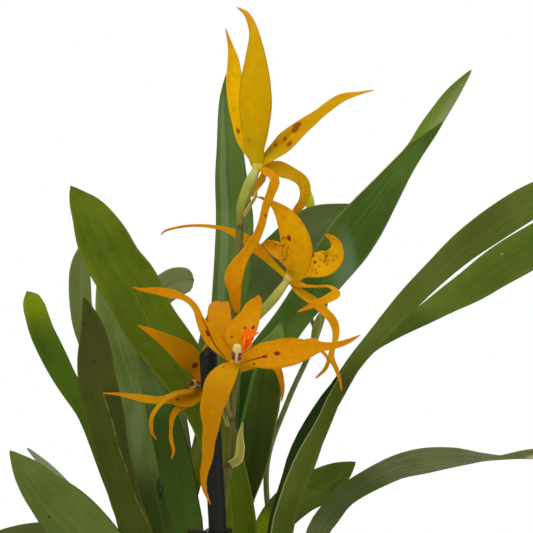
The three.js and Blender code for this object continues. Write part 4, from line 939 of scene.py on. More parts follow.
# In a blade's line each point is [x, y, z, width]. Where the points have no width, the blade widens from its
# root to its peak and narrows to its tip.
LEAVES = {
    "front_broad": {"on": "front", "keel": 3, "faces": [[0, -1, 0], [0.1, -1, 0.15]],
        "line": [[0, 7, 144, 9], [1, 7, 180, 15], [-1.5, 6, 212.5, 19.5], [-2.5, 6.5, 226, 18],
        [-4, 7, 236, 16.5], [-6, 7, 246, 16], [-11, 7, 260, 17], [-17.5, 7, 273, 20],
        [-27, 6, 286.5, 21.7], [-35.5, 4, 298.5, 22], [-43, 2, 313, 23], [-48.5, 0, 320.5, 22],
        [-54, -3, 331.5, 20.7], [-59, -6, 341.5, 14.7], [-62.5, -8, 346.5, 9.2], [-65.5, -11, 352, 1]]},
    "right_long": {"on": "right", "keel": 2.5, "faces": [[-0.2, -1, 0], [-0.2, -1, 0], [-0.2, -1, 0.1],
        [-0.3, -1, 0.1], [-0.5, -0.75, 0.5], [-0.3, -1, 0.3], [-0.3, -1, 0.4], [-0.3, -1, 0.4],
        [-0.4, -0.8, 0.4]],
        "line": [[22, -9, 144, 8], [18, -5, 185, 9.5], [17.5, -4, 214, 10.6], [20.5, -5, 226, 10.8],
        [23.5, -6, 235, 11.2], [26, -7, 242.5, 12.2], [30, -8, 252.5, 11.4], [34, -9, 260, 10.6],
        [37, -10, 266, 9.4], [41.5, -10.5, 272.5, 8.6], [47, -11, 281.5, 8], [53.5, -12, 289.5, 8],
        [58.5, -12, 295.5, 8.4], [69, -13, 307.5, 9.8], [79.5, -14, 318, 11], [90, -15, 327.5, 13.2],
        [99.4, -16, 334.5, 14.6], [106.5, -17, 339.4, 15], [117, -18, 345.8, 14.4], [136.4, -19, 355.2, 9],
        [154, -20, 361, 1]]},
    "right_second": {"on": "front", "keel": 2, "faces": [[-0.2, -1, 0], [-0.3, -0.9, 0.3],
        [-0.3, -0.8, 0.5]],
        "line": [[7, 0, 144, 8], [14, 3, 180, 8], [17.5, 4, 213, 8], [20.5, 4, 225, 8], [26, 4, 241.5, 8],
        [34, 4, 258.5, 7], [42, 4, 272, 5.6], [47.5, 4, 280.5, 5], [54, 4, 287.5, 5], [60, 4, 291.5, 6],
        [66.5, 4, 295.5, 7.2], [74, 4, 299.5, 8.6], [84.5, 4, 306, 11.9], [94.5, 4, 312, 15.2],
        [104.5, 4, 319, 17.6], [114.5, 4, 325, 19], [130, 4, 334, 17.4], [146, 4, 341, 12],
        [162, 4, 347, 1]]},
    "right_low": {"on": "right", "keel": 1.5, "faces": [[0, -1, 0.2], [0, -1, 0.2], [0, -1, 0.2],
        [-0.1, -1, 0.2], [-0.2, -1, 0.3], [-0.2, -1, 0.3], [-0.2, -1, 0.3], [-0.1, -1, 0.2], [0, -1, 0.3],
        [0, -0.7, 0.75], [0, -0.02, 1], [0, 0.55, 0.85], [0, 0.6, 0.8]],
        "line": [[27, -14, 144, 8], [29, -14, 180, 9], [32, -13, 214.5, 9], [37, -11, 222, 9.4],
        [42, -11, 228.5, 9.2], [48, -10, 232.5, 9], [57, -10, 237.5, 9.6], [65, -10, 241, 10],
        [74.5, -10, 243, 10.6], [86.5, -10, 244, 10.4], [96.5, -10, 244, 10], [100.5, -11, 244.5, 9.8],
        [108, -11, 245, 9.4], [117.5, -12, 245.5, 8.6], [124, -12, 246, 6], [132, -12, 247, 1]]},
    "right_back_low": {"on": "bark", "keel": 2, "faces": [[0, -1, 0], [-0.2, -1, 0.5]],
        "line": [[14, 27, 88, 8], [14, 27, 150, 9.5], [13, 28, 210, 13], [18.5, 29, 218.2, 15],
        [26.8, 30, 225.2, 16], [35.5, 31, 229.6, 15.4], [43, 31, 234.8, 10.2], [49, 32, 239, 1]]},
    "right_dark": {"on": "bark", "keel": 2.5, "faces": [[0, -1, 0], [0.1, -1, 0.1]],
        "line": [[4, 18, 88, 8], [4, 18, 150, 10], [0, 18, 212, 10], [1.5, 18, 225, 11], [5, 18, 237, 13],
        [6.5, 18, 245, 14.5], [7.5, 18, 253.5, 15.5], [9, 18, 265.5, 17.3], [10, 18, 277.5, 17],
        [12.5, 18, 284, 12.8], [16, 18, 291, 6.5], [18, 18, 297.5, 1]]},
    "right_tall": {"on": "back_right", "keel": 2.5, "faces": [[0, -1, 0], [-0.1, -1, 0], [-0.3, -1, 0.2],
        [-0.3, -1, 0.2], [0.1, -1, 0]],
        "line": [[7, 35, 144, 9], [4, 37, 180, 12], [-1, 38, 209, 14], [0, 41, 235, 16],
        [1.5, 44, 251, 18], [8.5, 48, 276, 17], [22.5, 52, 297, 14.8], [35.2, 54, 314, 18.2],
        [46, 55, 329, 21.8], [52.2, 55, 337.5, 20.6], [57, 57, 344, 18.2], [63.5, 58, 353, 14],
        [69.5, 59, 361.5, 10.4], [75.5, 60, 369.5, 8], [80.5, 60, 377.5, 8.4], [86, 60, 386, 7.4],
        [91.5, 60, 394, 6], [99.5, 60, 404, 1]]},
    "right_tall_behind": {"on": "back_right", "keel": 2, "faces": [[0, -1, 0], [-0.2, -1, 0.3]],
        "line": [[13, 42, 144, 8], [8, 45, 170, 9.5], [2, 49, 200, 12], [-7, 55, 242, 16],
        [-9, 61, 276, 19], [-4, 68, 296, 20], [7, 73, 312, 20], [20, 75, 326, 20], [34, 75, 338.5, 17],
        [49, 75, 347, 1]]},
    "left_far": {"on": "bark", "keel": 1.5, "faces": [[0, -1, 0.1]],
        "line": [[-35, 14, 88, 7], [-36, 14, 150, 8], [-44, 15, 215, 9], [-52, 15, 239, 9.4],
        [-60.5, 15, 261, 9.6], [-65, 15, 267.5, 9.4], [-69, 15, 273, 9.2], [-73, 15, 280.5, 10.2],
        [-76.5, 15, 287.5, 10.4], [-79.5, 15, 294, 10], [-82, 15, 302, 9.2], [-83.5, 15, 306.5, 7.8],
        [-85.5, 15, 310, 1.6]]},
    "left_pointed": {"on": "left", "keel": 3.5, "faces": [[0, -1, 0.1]],
        "line": [[-28, -1, 144, 8], [-32, -11, 186, 10], [-38.5, -14, 215, 11.5], [-43.5, -14, 228, 12],
        [-46, -14, 238, 12.4], [-49, -14, 248.5, 13.4], [-51, -14, 259, 15], [-53.5, -14, 269.5, 15.6],
        [-55, -14, 279, 14.8], [-55.5, -14, 286.5, 13.4], [-56, -14, 292.5, 11], [-57, -14, 298, 8],
        [-58.5, -14, 303.5, 4.4], [-60, -14, 308, 1]]},
    "left_mid": {"on": "bark", "width": 21, "root": 8, "peak": 0.7, "blunt": 2.6, "keel": 2, "faces": [
        [0, -1, 0], [0.2, -1, 0.1]],
        "line": [[-24, 18, 88], [-25, 20, 150], [-30, 25, 210], [-35.5, 25, 236], [-40.5, 25, 261],
        [-46, 25, 280], [-52, 25, 298], [-57, 25, 318]]},
    "left_inner": {"on": "left", "keel": 1.5, "faces": [[0, -1, 0.1]],
        "line": [[-25, 5, 144, 7], [-21, 9, 185, 9], [-19.5, 10, 213, 12], [-22, 10, 225, 13.4],
        [-24.5, 10, 238, 13.8], [-28, 10, 252, 13], [-32, 10, 266, 11], [-36, 10, 280, 8],
        [-41, 10, 296, 1]]},
    "left_low": {"on": "bark", "keel": 2.5, "faces": [[0, -1, 0], [0.3, -1, 0.5]],
        "line": [[-37, -11, 88, 8], [-37, -13, 150, 12], [-40, -17, 185, 16], [-48, -20, 203, 19.5],
        [-60, -20, 217, 21.8], [-68, -20, 224.5, 21.9], [-72, -20, 228.5, 19.8], [-76.5, -20, 233, 16.6],
        [-80, -20, 237.5, 14], [-83, -20, 241, 10.8], [-88.5, -20, 248, 1]]},
    "left_low_behind": {"on": "bark", "width": 9, "root": 6, "peak": 0.6, "blunt": 2.6, "keel": 1, "faces": [
        [0, -1, 0], [0.2, -1, 0.4]],
        "line": [[-39, 26, 88], [-38, 27, 150], [-54, 30, 200], [-67, 30, 222], [-77, 30, 235],
        [-87, 30, 245]]},
    "left_corner": {"on": "bark", "width": 15, "root": 8, "peak": 0.55, "blunt": 2.4, "keel": 1.5, "faces": [
        [0, -1, 0.2], [0.3, -1, 0.6], [-0.2, -0.9, 1]],
        "line": [[-48, 2, 88], [-48, 3, 150], [-52, 6, 190], [-60, 9, 203], [-72, 10, 210], [-86, 10, 211],
        [-100, 10, 208], [-116, 10, 197]]},
    "back_grey": {"on": "back_left", "keel": 1.5, "faces": [[0, -1, 0.1]],
        "line": [[-24, 33, 144, 8], [-34, 37, 180, 8.5], [-37, 40, 209, 9], [-44, 45, 230, 9],
        [-54, 54, 259, 9.5], [-62, 60, 284, 9.6], [-66, 62, 295, 9.6], [-67.5, 64, 303.5, 9.6],
        [-68, 65, 312, 9.6], [-68, 65, 319.5, 8.4], [-67, 65, 326, 5.4], [-65.5, 65, 331, 1]]},
    "back_round": {"on": "bark", "keel": 1.2, "faces": [[0, -1, 0], [0, -1, 0.1], [0, -1, 0.1],
        [0, -1, 0.15]],
        "line": [[-22, 43, 88, 7], [-23, 44, 150, 9], [-24, 54, 234, 10], [-30, 64, 268, 10.5],
        [-36, 72, 288, 11], [-38.5, 77, 299, 12], [-36.5, 79, 306, 13], [-32, 80, 310.5, 13],
        [-26.5, 80, 313.5, 13], [-19.5, 80, 314, 9]]},
    "back_upright": {"on": "back_left", "keel": 2, "faces": [[0, -1, 0], [0.1, -1, 0]],
        "line": [[-16, 27, 144, 8], [-19, 29, 180, 8.5], [-22, 32, 210, 8.5], [-20, 35, 228, 8.5],
        [-15.5, 39, 240, 9.5], [-11, 42, 256, 11.5], [-7, 43, 275, 13.5], [-4, 45, 300, 15],
        [-2, 47, 325, 16], [-1.5, 48, 340, 15.8], [-3, 48, 357, 13.5], [-3.5, 48, 369, 11.3],
        [-5, 48, 390, 6], [-4.5, 48, 402, 1]]},
}

BLOOMS = {
    "top": {
        "centre": [8.5, -2, 360],
        "tepals": [
            {"keel": 2, "foot": 5, "faces": [[0, 1, 0.1], [0.1, 1, 0], [0.3, 1, -0.2]],
                "line": [[7.5, -6, 366.5, 7.6], [7.5, -10, 373, 10.6], [7.5, -12.5, 384, 12.8],
                [7.5, -13, 394.5, 11.4], [7.5, -12, 404, 7.8], [7, -10, 412, 4.2], [5.5, -7, 417.5, 3],
                [3.5, -5, 421, 2], [0, -3, 423.5, 0.4]]},
            {"keel": 1.2, "foot": 2.6, "faces": [[0.2, -1, 0]],
                "line": [[2.5, 0, 370.5, 5], [1.5, 1.5, 376.5, 6.4], [0, 3.5, 385.5, 7.2],
                [-1, 5, 395, 6.8], [-1.5, 6, 403.5, 4.6], [-2.5, 6, 408.5, 2.4], [-4.5, 6, 416, 0.4]]},
            {"keel": 1, "foot": 2.6, "faces": [[-0.3, -0.9, 0.5]],
                "line": [[15.5, -3, 366, 7.6], [19, -4.5, 369, 9.8], [23.5, -5.5, 373, 8.8],
                [28.5, -6.5, 377, 6.8], [33, -7, 380.5, 5], [37.5, -7, 384, 5], [42.5, -7, 387, 4.2],
                [48, -7, 388.5, 2], [54.5, -7, 390, 0.4]]},
            {"keel": 0.6, "foot": 3, "faces": [[0, -1, 0.3], [0.3, -1, 0.2], [0.8, -0.6, -0.2]],
                "line": [[17, 1, 359, 6.6], [22.5, 4, 357, 5.6], [26.5, 7, 354, 5.6], [27.5, 9, 350, 5.2],
                [26.5, 10.5, 346, 4.8], [24, 11, 343, 3.6], [21.5, 11, 340.5, 1.2]]},
            {"keel": 0.6, "foot": 2.4, "faces": [[0.5, -1, 0], [0.6, -0.8, 0], [0.9, -0.5, 0.2],
                [0.3, -1, 0], [-0.3, -1, 0]],
                "line": [[15, -6, 355, 4.8], [13.5, -8.5, 349, 4.4], [11.5, -10.5, 343.5, 4.4],
                [10, -12, 337, 4.8], [7.5, -13, 331, 5.4], [4, -14, 325.5, 4.6], [1, -14, 321, 6.2],
                [-1, -14, 315.5, 7.4], [-0.5, -13, 310.5, 5], [0, -12, 305.5, 3.8], [0.5, -11, 301.5, 2]]},
        ],
        "lip": {"keel": 0.8, "foot": 2.4, "faces": [[-0.8, -0.5, -0.3]],
            "line": [[11, 5, 357, 3.4], [8.8, 9.5, 353, 3.6], [5.8, 13, 348.5, 1.8]]},
        "column": {"girth": 1.4, "points": [[11, 4, 361.5], [12, 8, 360]]},
    },
    "right": {
        "centre": [21, 8, 315],
        "tepals": [
            {"keel": 1.5, "foot": 3.2, "faces": [[0.2, -1, 0.1], [0.2, -0.9, 0.5]],
                "line": [[24, 4, 317.5, 8], [24.5, 1, 323.5, 11.8], [23.5, -1, 329.5, 12.6],
                [21.5, -2, 335.5, 11], [18.5, -1.5, 341, 7.2], [14.5, 0, 345, 3], [11, 1, 347, 1.6],
                [8, 1.5, 348, 0.4]]},
            {"keel": 0.8, "foot": 2, "faces": [[0.2, -1, 0.2]],
                "line": [[15, 6, 320.5, 2.8], [9.5, 4.5, 326, 4.4], [4, 4.5, 330.5, 4.8],
                [-1, 5, 333.5, 3], [-6.5, 6, 335.5, 1.8], [-17, 8, 336.5, 1.2], [-25, 7.5, 335.5, 1],
                [-29.5, 7, 334, 0.8], [-30.5, 6, 332.5, 0.4]]},
            {"keel": 1, "foot": 2.4, "faces": [[-0.2, -1, 0.4], [-0.4, -1, 0], [0, -1, -0.5]],
                "line": [[27, 5, 318, 5.6], [31, 2, 320, 9.6], [36, 1, 321.5, 10.4], [39, -1, 324, 8],
                [40, -2, 328, 4.6], [38.5, -1, 331, 3], [35.5, 0, 333, 1]]},
            {"keel": 0.5, "foot": 2.6, "faces": [[0, -0.6, 1], [0, -0.3, 1], [0.6, -0.6, 0.6],
                [0.3, -0.8, 0.5]],
                "line": [[25.5, 3, 312.5, 4.6], [31.5, -3, 312, 2.6], [37, -8, 312, 3.2],
                [39.5, -12, 309.5, 3.8], [36.5, -14, 307.5, 3.6], [31, -14, 305, 2.8], [24, -13, 302, 0.6]]},
            {"keel": 0.6, "foot": 2, "faces": [[0.3, -1, 0.5], [0.3, -1, 0.2]],
                "line": [[25, 5, 310, 3.6], [30.5, 3, 306, 4.2], [35, 0, 302, 4], [38.5, -3, 298, 4],
                [39.5, -5, 294, 3.2], [39, -7, 290, 2.2], [38, -9, 287, 2.2], [37.5, -11, 284, 2.6],
                [39.5, -14, 279.5, 2], [41, -16, 274.5, 1.2], [41.5, -17, 271, 0.4]]},
        ],
        "lip": {"keel": 2, "foot": 2.4, "faces": [[0.1, -1, 0.6]],
            "line": [[22, 13, 319.5, 4.8], [17.5, 18, 325.5, 7.4], [13, 20.5, 328.5, 5],
            [10.3, 21, 329.5, 0.8]]},
        "column": {"girth": 1.4, "points": [[23, 12, 319], [24.5, 15.5, 322]]},
    },
    "front": {
        "centre": [0, -30, 282.5],
        "tepals": [
            {"keel": 1.5, "foot": 4, "faces": [[-0.3, -1, 0.4], [-0.2, -1, 0.1], [-0.1, -1, -0.3]],
                "line": [[-2.5, -34, 280.5, 8.4], [-5.5, -38, 276, 11.6], [-7.5, -41, 270, 10.6],
                [-9, -42, 265, 9], [-9, -41.5, 259.5, 6.8], [-10, -40, 253.5, 5.2], [-10.5, -38, 247, 4.2],
                [-12, -36, 240.5, 3], [-12, -34.5, 235, 1.8], [-9.5, -32, 228, 0.4]]},
            {"keel": 0.8, "foot": 2.4, "faces": [[-0.2, -1, 0.2]],
                "line": [[-3.5, -31.5, 286.5, 4], [-8, -33, 291, 6], [-11, -34, 295.5, 5.8],
                [-13.5, -34, 299.5, 3.4], [-15, -33.5, 303.5, 2.6], [-17.5, -33, 306.5, 2.4],
                [-21, -32, 308.5, 2.6], [-25, -31, 309.5, 3.6], [-30.5, -30, 310.5, 2.8],
                [-36, -29, 311, 1.4], [-40, -28, 312, 0.4]]},
            {"keel": 1, "foot": 2.4, "faces": [[0, -1, 0.3]],
                "line": [[5.5, -32.5, 284.5, 6.6], [10.5, -34.5, 285.5, 10.2], [15.5, -35.5, 286, 11],
                [21, -35.5, 286.5, 9.8], [26, -34, 287.5, 7.8], [29.5, -32.5, 289, 7.2],
                [33.5, -31, 289, 4], [38.5, -30, 289.5, 2.8], [43.5, -29, 291, 2], [48.5, -28, 293.5, 0.4]]},
            {"keel": 0.8, "foot": 2.4, "faces": [[-0.5, -1, 0], [-0.4, -0.8, 0.6], [0, -0.4, 1]],
                "line": [[-2.5, -26, 291, 4.6], [-5, -22, 296, 8.2], [-6.5, -17, 301, 9.4],
                [-6.5, -13, 304.5, 8.2], [-5.5, -9, 306, 5.6]]},
            {"keel": 0.5, "foot": 2, "faces": [[0, -1, 0.6], [0, -0.8, 0.8], [0.7, -0.5, 0.5],
                [0.9, -0.3, 0]],
                "line": [[8.5, -22, 286.5, 3.6], [17.5, -17, 290, 4], [26.5, -16, 290, 3.6],
                [32, -18.5, 288, 3.2], [36, -21.5, 284, 2.6], [35, -24, 280.5, 2.2], [31, -26, 276.5, 0.6]]},
        ],
        "lip": {"keel": 1.4, "foot": 2.4, "faces": [[0, -1, 0]],
            "line": [[1.2, -31, 288.8, 7.6], [1.6, -31.5, 293.4, 11.6], [5, -30.5, 299.5, 8.8],
            [7, -28.5, 304, 6.6], [8.5, -27, 307, 3.6], [9, -26, 309, 0.6]]},
        "column": {"girth": 2, "points": [[0.5, -36, 285], [0.8, -40, 289]]},
        "teeth": [
            ([[4.5, -31.6, 291.8], [7, -33, 293.6], [9.2, -33.4, 294.8]], 0.85),
            ([[3, -31.8, 289], [3.4, -32.7, 290.6], [3.8, -31.8, 293.6]], 0.8),
            ([[5.2, -31.6, 288.6], [6, -32.4, 290], [5.8, -31.9, 292]], 0.7),
        ],
    },
    "left": {
        "centre": [-12.5, -8, 272.5],
        "tepals": [
            {"keel": 1, "foot": 2.4, "faces": [[-0.3, -1, 0.4]],
                "line": [[-15.5, -11.5, 280.5, 7.8], [-19.5, -14, 285, 9.2], [-24, -16, 288.5, 7.4],
                [-29.5, -17, 292, 4.6], [-34.5, -17.5, 295, 2.4], [-38.5, -18, 297, 0.4]]},
            {"keel": 0.6, "foot": 2, "faces": [[-0.2, -1, 0.4]],
                "line": [[-17, -12, 267.5, 5.2], [-21.5, -14.5, 267.5, 6.2], [-25.5, -16, 268, 4.4],
                [-30, -17.5, 267.5, 3.2], [-35, -18.5, 268, 3.4], [-40, -19.5, 269, 2.4],
                [-45.5, -20, 270, 1.4], [-52, -21, 270.5, 0.4]]},
            {"keel": 0.4, "foot": 1.8, "faces": [[-0.2, -0.8, 0.6], [-0.6, -0.8, 0.3], [-0.8, -0.6, 0],
                [-0.6, -0.8, -0.3]],
                "line": [[-19.5, -14, 270.5, 3], [-23.5, -18, 270, 3.2], [-27.5, -20.5, 268, 2.8],
                [-30.5, -22, 265, 2.8], [-32.5, -22.5, 261.5, 2.4], [-33, -22, 258, 2.2],
                [-32.5, -20, 254.5, 1.6], [-31, -17.5, 252, 0.4]]},
            {"keel": 0.4, "foot": 1.8, "faces": [[0.3, -1, 0.4], [-0.3, -1, 0]],
                "line": [[-19.5, -13, 266, 3.2], [-23, -15, 264, 2.8], [-25, -16, 260.5, 2.2],
                [-25.5, -15.5, 256.5, 1.4], [-25.5, -15, 252, 1.6], [-24.5, -14.5, 247.5, 1.2],
                [-25.5, -14, 244, 0.4]]},
            {"keel": 0.5, "foot": 2, "faces": [[0, -1, 0.3]],
                "line": [[-6, -2, 277, 3.2], [3.5, 1, 280, 3.8], [11, 2, 281.5, 3.8], [16, 1, 279.5, 3.2],
                [18, 0.5, 274, 2.2], [18.5, 0, 270, 1.4], [18, -1, 266, 0.4]]},
        ],
        "lip": {"keel": 0.8, "foot": 2, "faces": [[0.2, -1, 0.2]],
            "line": [[-13.5, -5, 278, 3.2], [-11.5, -4, 283, 5.6], [-10.5, -4, 287.5, 5.2],
            [-10, -4, 290.5, 2.4]]},
        "column": {"girth": 1.8, "points": [[-15.5, -13, 273.5], [-17.5, -17.5, 274]]},
    },
}

SPIKE = {
    "stem": [[-9, -9, 89], [-7, -10, 150], [-6, -8, 190], [-6, -6, 214], [-3, -6, 241], [-2, -6, 259],
        [0, -6, 281], [0, -6, 300], [1, -6, 325], [1.5, -5, 338]],
    "stalks": {
        "top": {"girth": 1.4, "ovary": 2.2, "points": [[1.5, -5, 335], [2, -5, 343], [5, -3.5, 352]]},
        "right": {"girth": 1.3, "ovary": 1.8, "points": [[0, -6, 292], [7, 0, 299], [14, 4, 306]]},
        "front": {"girth": 1.1, "ovary": 1.3, "points": [[-2, -6, 259], [-4, -13, 266], [-3, -22, 275]]},
        "left": {"girth": 1.1, "ovary": 1.3, "points": [[-2, -6, 255], [-5, -5, 262], [-9, -6.5, 268]]},
    },
}

BRACTS = {
    "lower": {"keel": 0.8, "faces": [[0.3, -1, 0]],
        "line": [[-2.5, -7.6, 241.5, 3.2], [0.5, -8.3, 243.5, 3.8], [1.5, -8.5, 247.5, 3.6],
        [1.5, -8.5, 252, 2.8], [2.5, -8.5, 258.5, 0.6]]},
    "middle": {"keel": 0.4, "faces": [[-0.6, -1, 0]],
        "line": [[-3.3, -7.2, 256.5, 1.6], [-4.3, -7.6, 261, 2], [-4.8, -7.6, 264.5, 0.6]]},
    "upper": {"keel": 0.3, "faces": [[0.5, -1, 0]],
        "line": [[2.8, -6, 340, 1.6], [5.6, -6, 344.5, 1.6], [7.4, -6, 347.5, 1.5], [8.4, -6, 350.5, 0.5]]},
}

BACK_SPIKE = {
    "points": [[28, 36, 89], [24, 40, 150], [15.2, 46, 200], [12.2, 51, 236], [21.4, 61, 263],
        [29, 70, 279], [34, 78, 290], [38, 86, 305], [37, 90, 325], [34, 90, 343]],
    "buds": [
        [[30, 72, 281], [32.5, 73, 289], [34.5, 74, 297]],
        [[34, 78, 290], [31, 80, 299], [29, 82, 308]],
        [[38, 86, 305], [42, 84, 312], [44, 84, 321]],
        [[37, 90, 325], [32, 88, 331], [29, 87, 339]],
        [[34, 90, 339], [31.5, 89, 345.5], [30, 88, 352]],
    ],
}


# ---------------------------------------------------------------- how each leaf and tepal is painted

# Patches are (centre, size, colour, amount) and a scar is (centre, size), in mm; a few patches are painted
# sheen or painted light. A fold runs along points of (place, across), with painted shade on its left or right
# side.
LEAF_LOOKS = {
    "front_broad": {"green": (71, 87, 5), "light": (95, 112, 16), "rib": (114, 124, 40), "rib_amount": 0.4,
        "rib_width": 0.03, "edge": (146, 140, 50), "edge_amount": 0.4},
    # right_long: the fold's left side is painted shade, where the far half of the leaf lies in shadow
    "right_long": {"green": (68, 80, 18), "light": (86, 98, 32), "fold": {"along": [(0.24, 0.7), (0.32, 0.66),
            (0.36, 0.48), (0.4, 0.3), (0.43, 0.3), (0.475, 0.6), (0.505, 0.8)], "left": 0.95, "shade": (20,
            40, 0), "line": 0.75, "tone": (138, 144, 88), "wide": 0.06}},
    "right_second": {"green": (78, 98, 22), "light": (102, 120, 38),
        "patches": [((64, 4, 293), (26, 20, 17), (58, 80, 6), 0.7),
            ((106.8, 4, 325), (1, 8, 0.8), (150, 156, 96), 0.8)]},
    "right_low": {"green": (60, 68, 32), "light": (92, 98, 58), "vein": 0.3, "streak": 0.5,
        "patches": [((116, -11, 245), (15, 12, 8), (98, 94, 52), 0.8),
            ((118, -11, 244.4), (5, 10, 2.2), (196, 192, 168), 0.85),
            ((44, -11, 228), (24, 20, 20), (54, 68, 24), 0.85)]},
    "right_back_low": {"green": (66, 82, 18), "light": (90, 106, 30),
        "patches": [((11, 28, 211), (8, 12, 11), (140, 156, 4), 0.85)]},
    # right_dark: the fold's left side is painted shade
    "right_dark": {"green": (50, 64, 12), "light": (66, 82, 20), "edge": (138, 156, 92), "edge_amount": 0.6,
        "tip": (122, 148, 64), "tip_from": 0.88, "tip_amount": 1.0, "rib_amount": 0.0,
        "fold": {"along": [(0.79, 0.76), (0.93, 0.16)], "left": 0.8, "shade": (22, 56, 2), "line": 0.8,
            "tone": (82, 120, 24), "wide": 0.12}},
    # right_tall: its patch is a painted sheen, a pale grey-green band; the turned part is its paler
    # underside, partly painted light
    "right_tall": {"green": (54, 80, 16), "light": (82, 106, 34), "rib": (84, 110, 40), "rib_width": 0.04,
        "edge": (124, 144, 96), "edge_amount": 0.5,
        "patches": [((45, 53, 318), (7, 22, 24), (98, 122, 84), 0.7)], "turn": {"from": (-0.75, 0.912),
            "to": (0.85, 0.859), "tone": (100, 124, 40), "far_tone": (130, 140, 80), "amount": 0.92}},
    "right_tall_behind": {"green": (74, 90, 42), "light": (94, 108, 58), "gloss": 0.5},
    "left_far": {"green": (52, 76, 6), "light": (72, 96, 12), "tip": (122, 134, 6), "tip_from": 0.9,
        "tip_amount": 0.92},
    # left_pointed: the fold's right side is painted shade
    "left_pointed": {"green": (52, 62, 8), "light": (66, 72, 16), "rib_amount": 0.0, "specks": 0.9,
        "edge": (104, 100, 52), "patches": [((-56, -14, 290), (15, 12, 24), (66, 62, 26), 0.6)],
        "fold": {"along": [(0.44, -0.85), (0.78, -0.12)], "right": 0.5, "shade": (44, 48, 12), "line": 0.5,
            "tone": (122, 120, 64), "wide": 0.05, "broken": True}},
    # left_mid: the first patch is a painted sheen, a pale glossy strip
    "left_mid": {"green": (96, 114, 48), "light": (124, 140, 74),
        "patches": [((-41, 25, 254), (4, 14, 17), (134, 148, 102), 0.75),
            ((-36, 25, 218), (16, 14, 22), (62, 80, 20), 0.8)], "scar": ((-31.6, 25, 229.5), (2.0, 12, 5.0))},
    # left_inner: its patch is painted light, a paler green on the leaf's upper part
    "left_inner": {"green": (54, 76, 16), "light": (74, 96, 30),
        "patches": [((-34, 10, 284), (16, 14, 30), (98, 122, 60), 0.85)]},
    "left_low": {"green": (72, 88, 32), "light": (92, 106, 46),
        "patches": [((-72.7, -20, 222.4), (0.8, 9, 0.8), (36, 34, 18), 1.0)]},
    "left_low_behind": {"green": (112, 124, 80), "light": (136, 146, 108)},
    "left_corner": {"green": (62, 72, 18), "light": (78, 86, 30)},
    "back_grey": {"green": (88, 102, 46), "light": (106, 118, 62), "gloss": 0.5},
    "back_round": {"green": (96, 106, 56), "light": (114, 124, 76), "gloss": 0.5, "scorch": 0.0,
        "rounding": 0.012},
    "back_upright": {"green": (72, 96, 34), "light": (90, 114, 50),
        "fold": {"along": [(0.35, 0.5), (0.96, 0.5)], "line": 0.35, "tone": (134, 150, 112), "wide": 0.3},
        "patches": [((-17.8, 39, 238), (6.5, 30, 13), (126, 136, 10), 0.9)]},
}
BRACT_LOOK = {"green": (138, 136, 46), "light": (172, 166, 78), "rib": (132, 132, 40), "rib_width": 0.35,
              "edge": (214, 194, 144), "edge_amount": 0.85, "edge_from": 0.6, "gloss": 0.5, "scorch": 0.9}

TOP_YELLOW = {"base": (182, 156, 4), "main": (188, 145, 0), "tip": (198, 138, 16), "margin": (194, 140, 0),
              "spot_tone": (124, 70, 8), "spot_softness": 0.4}

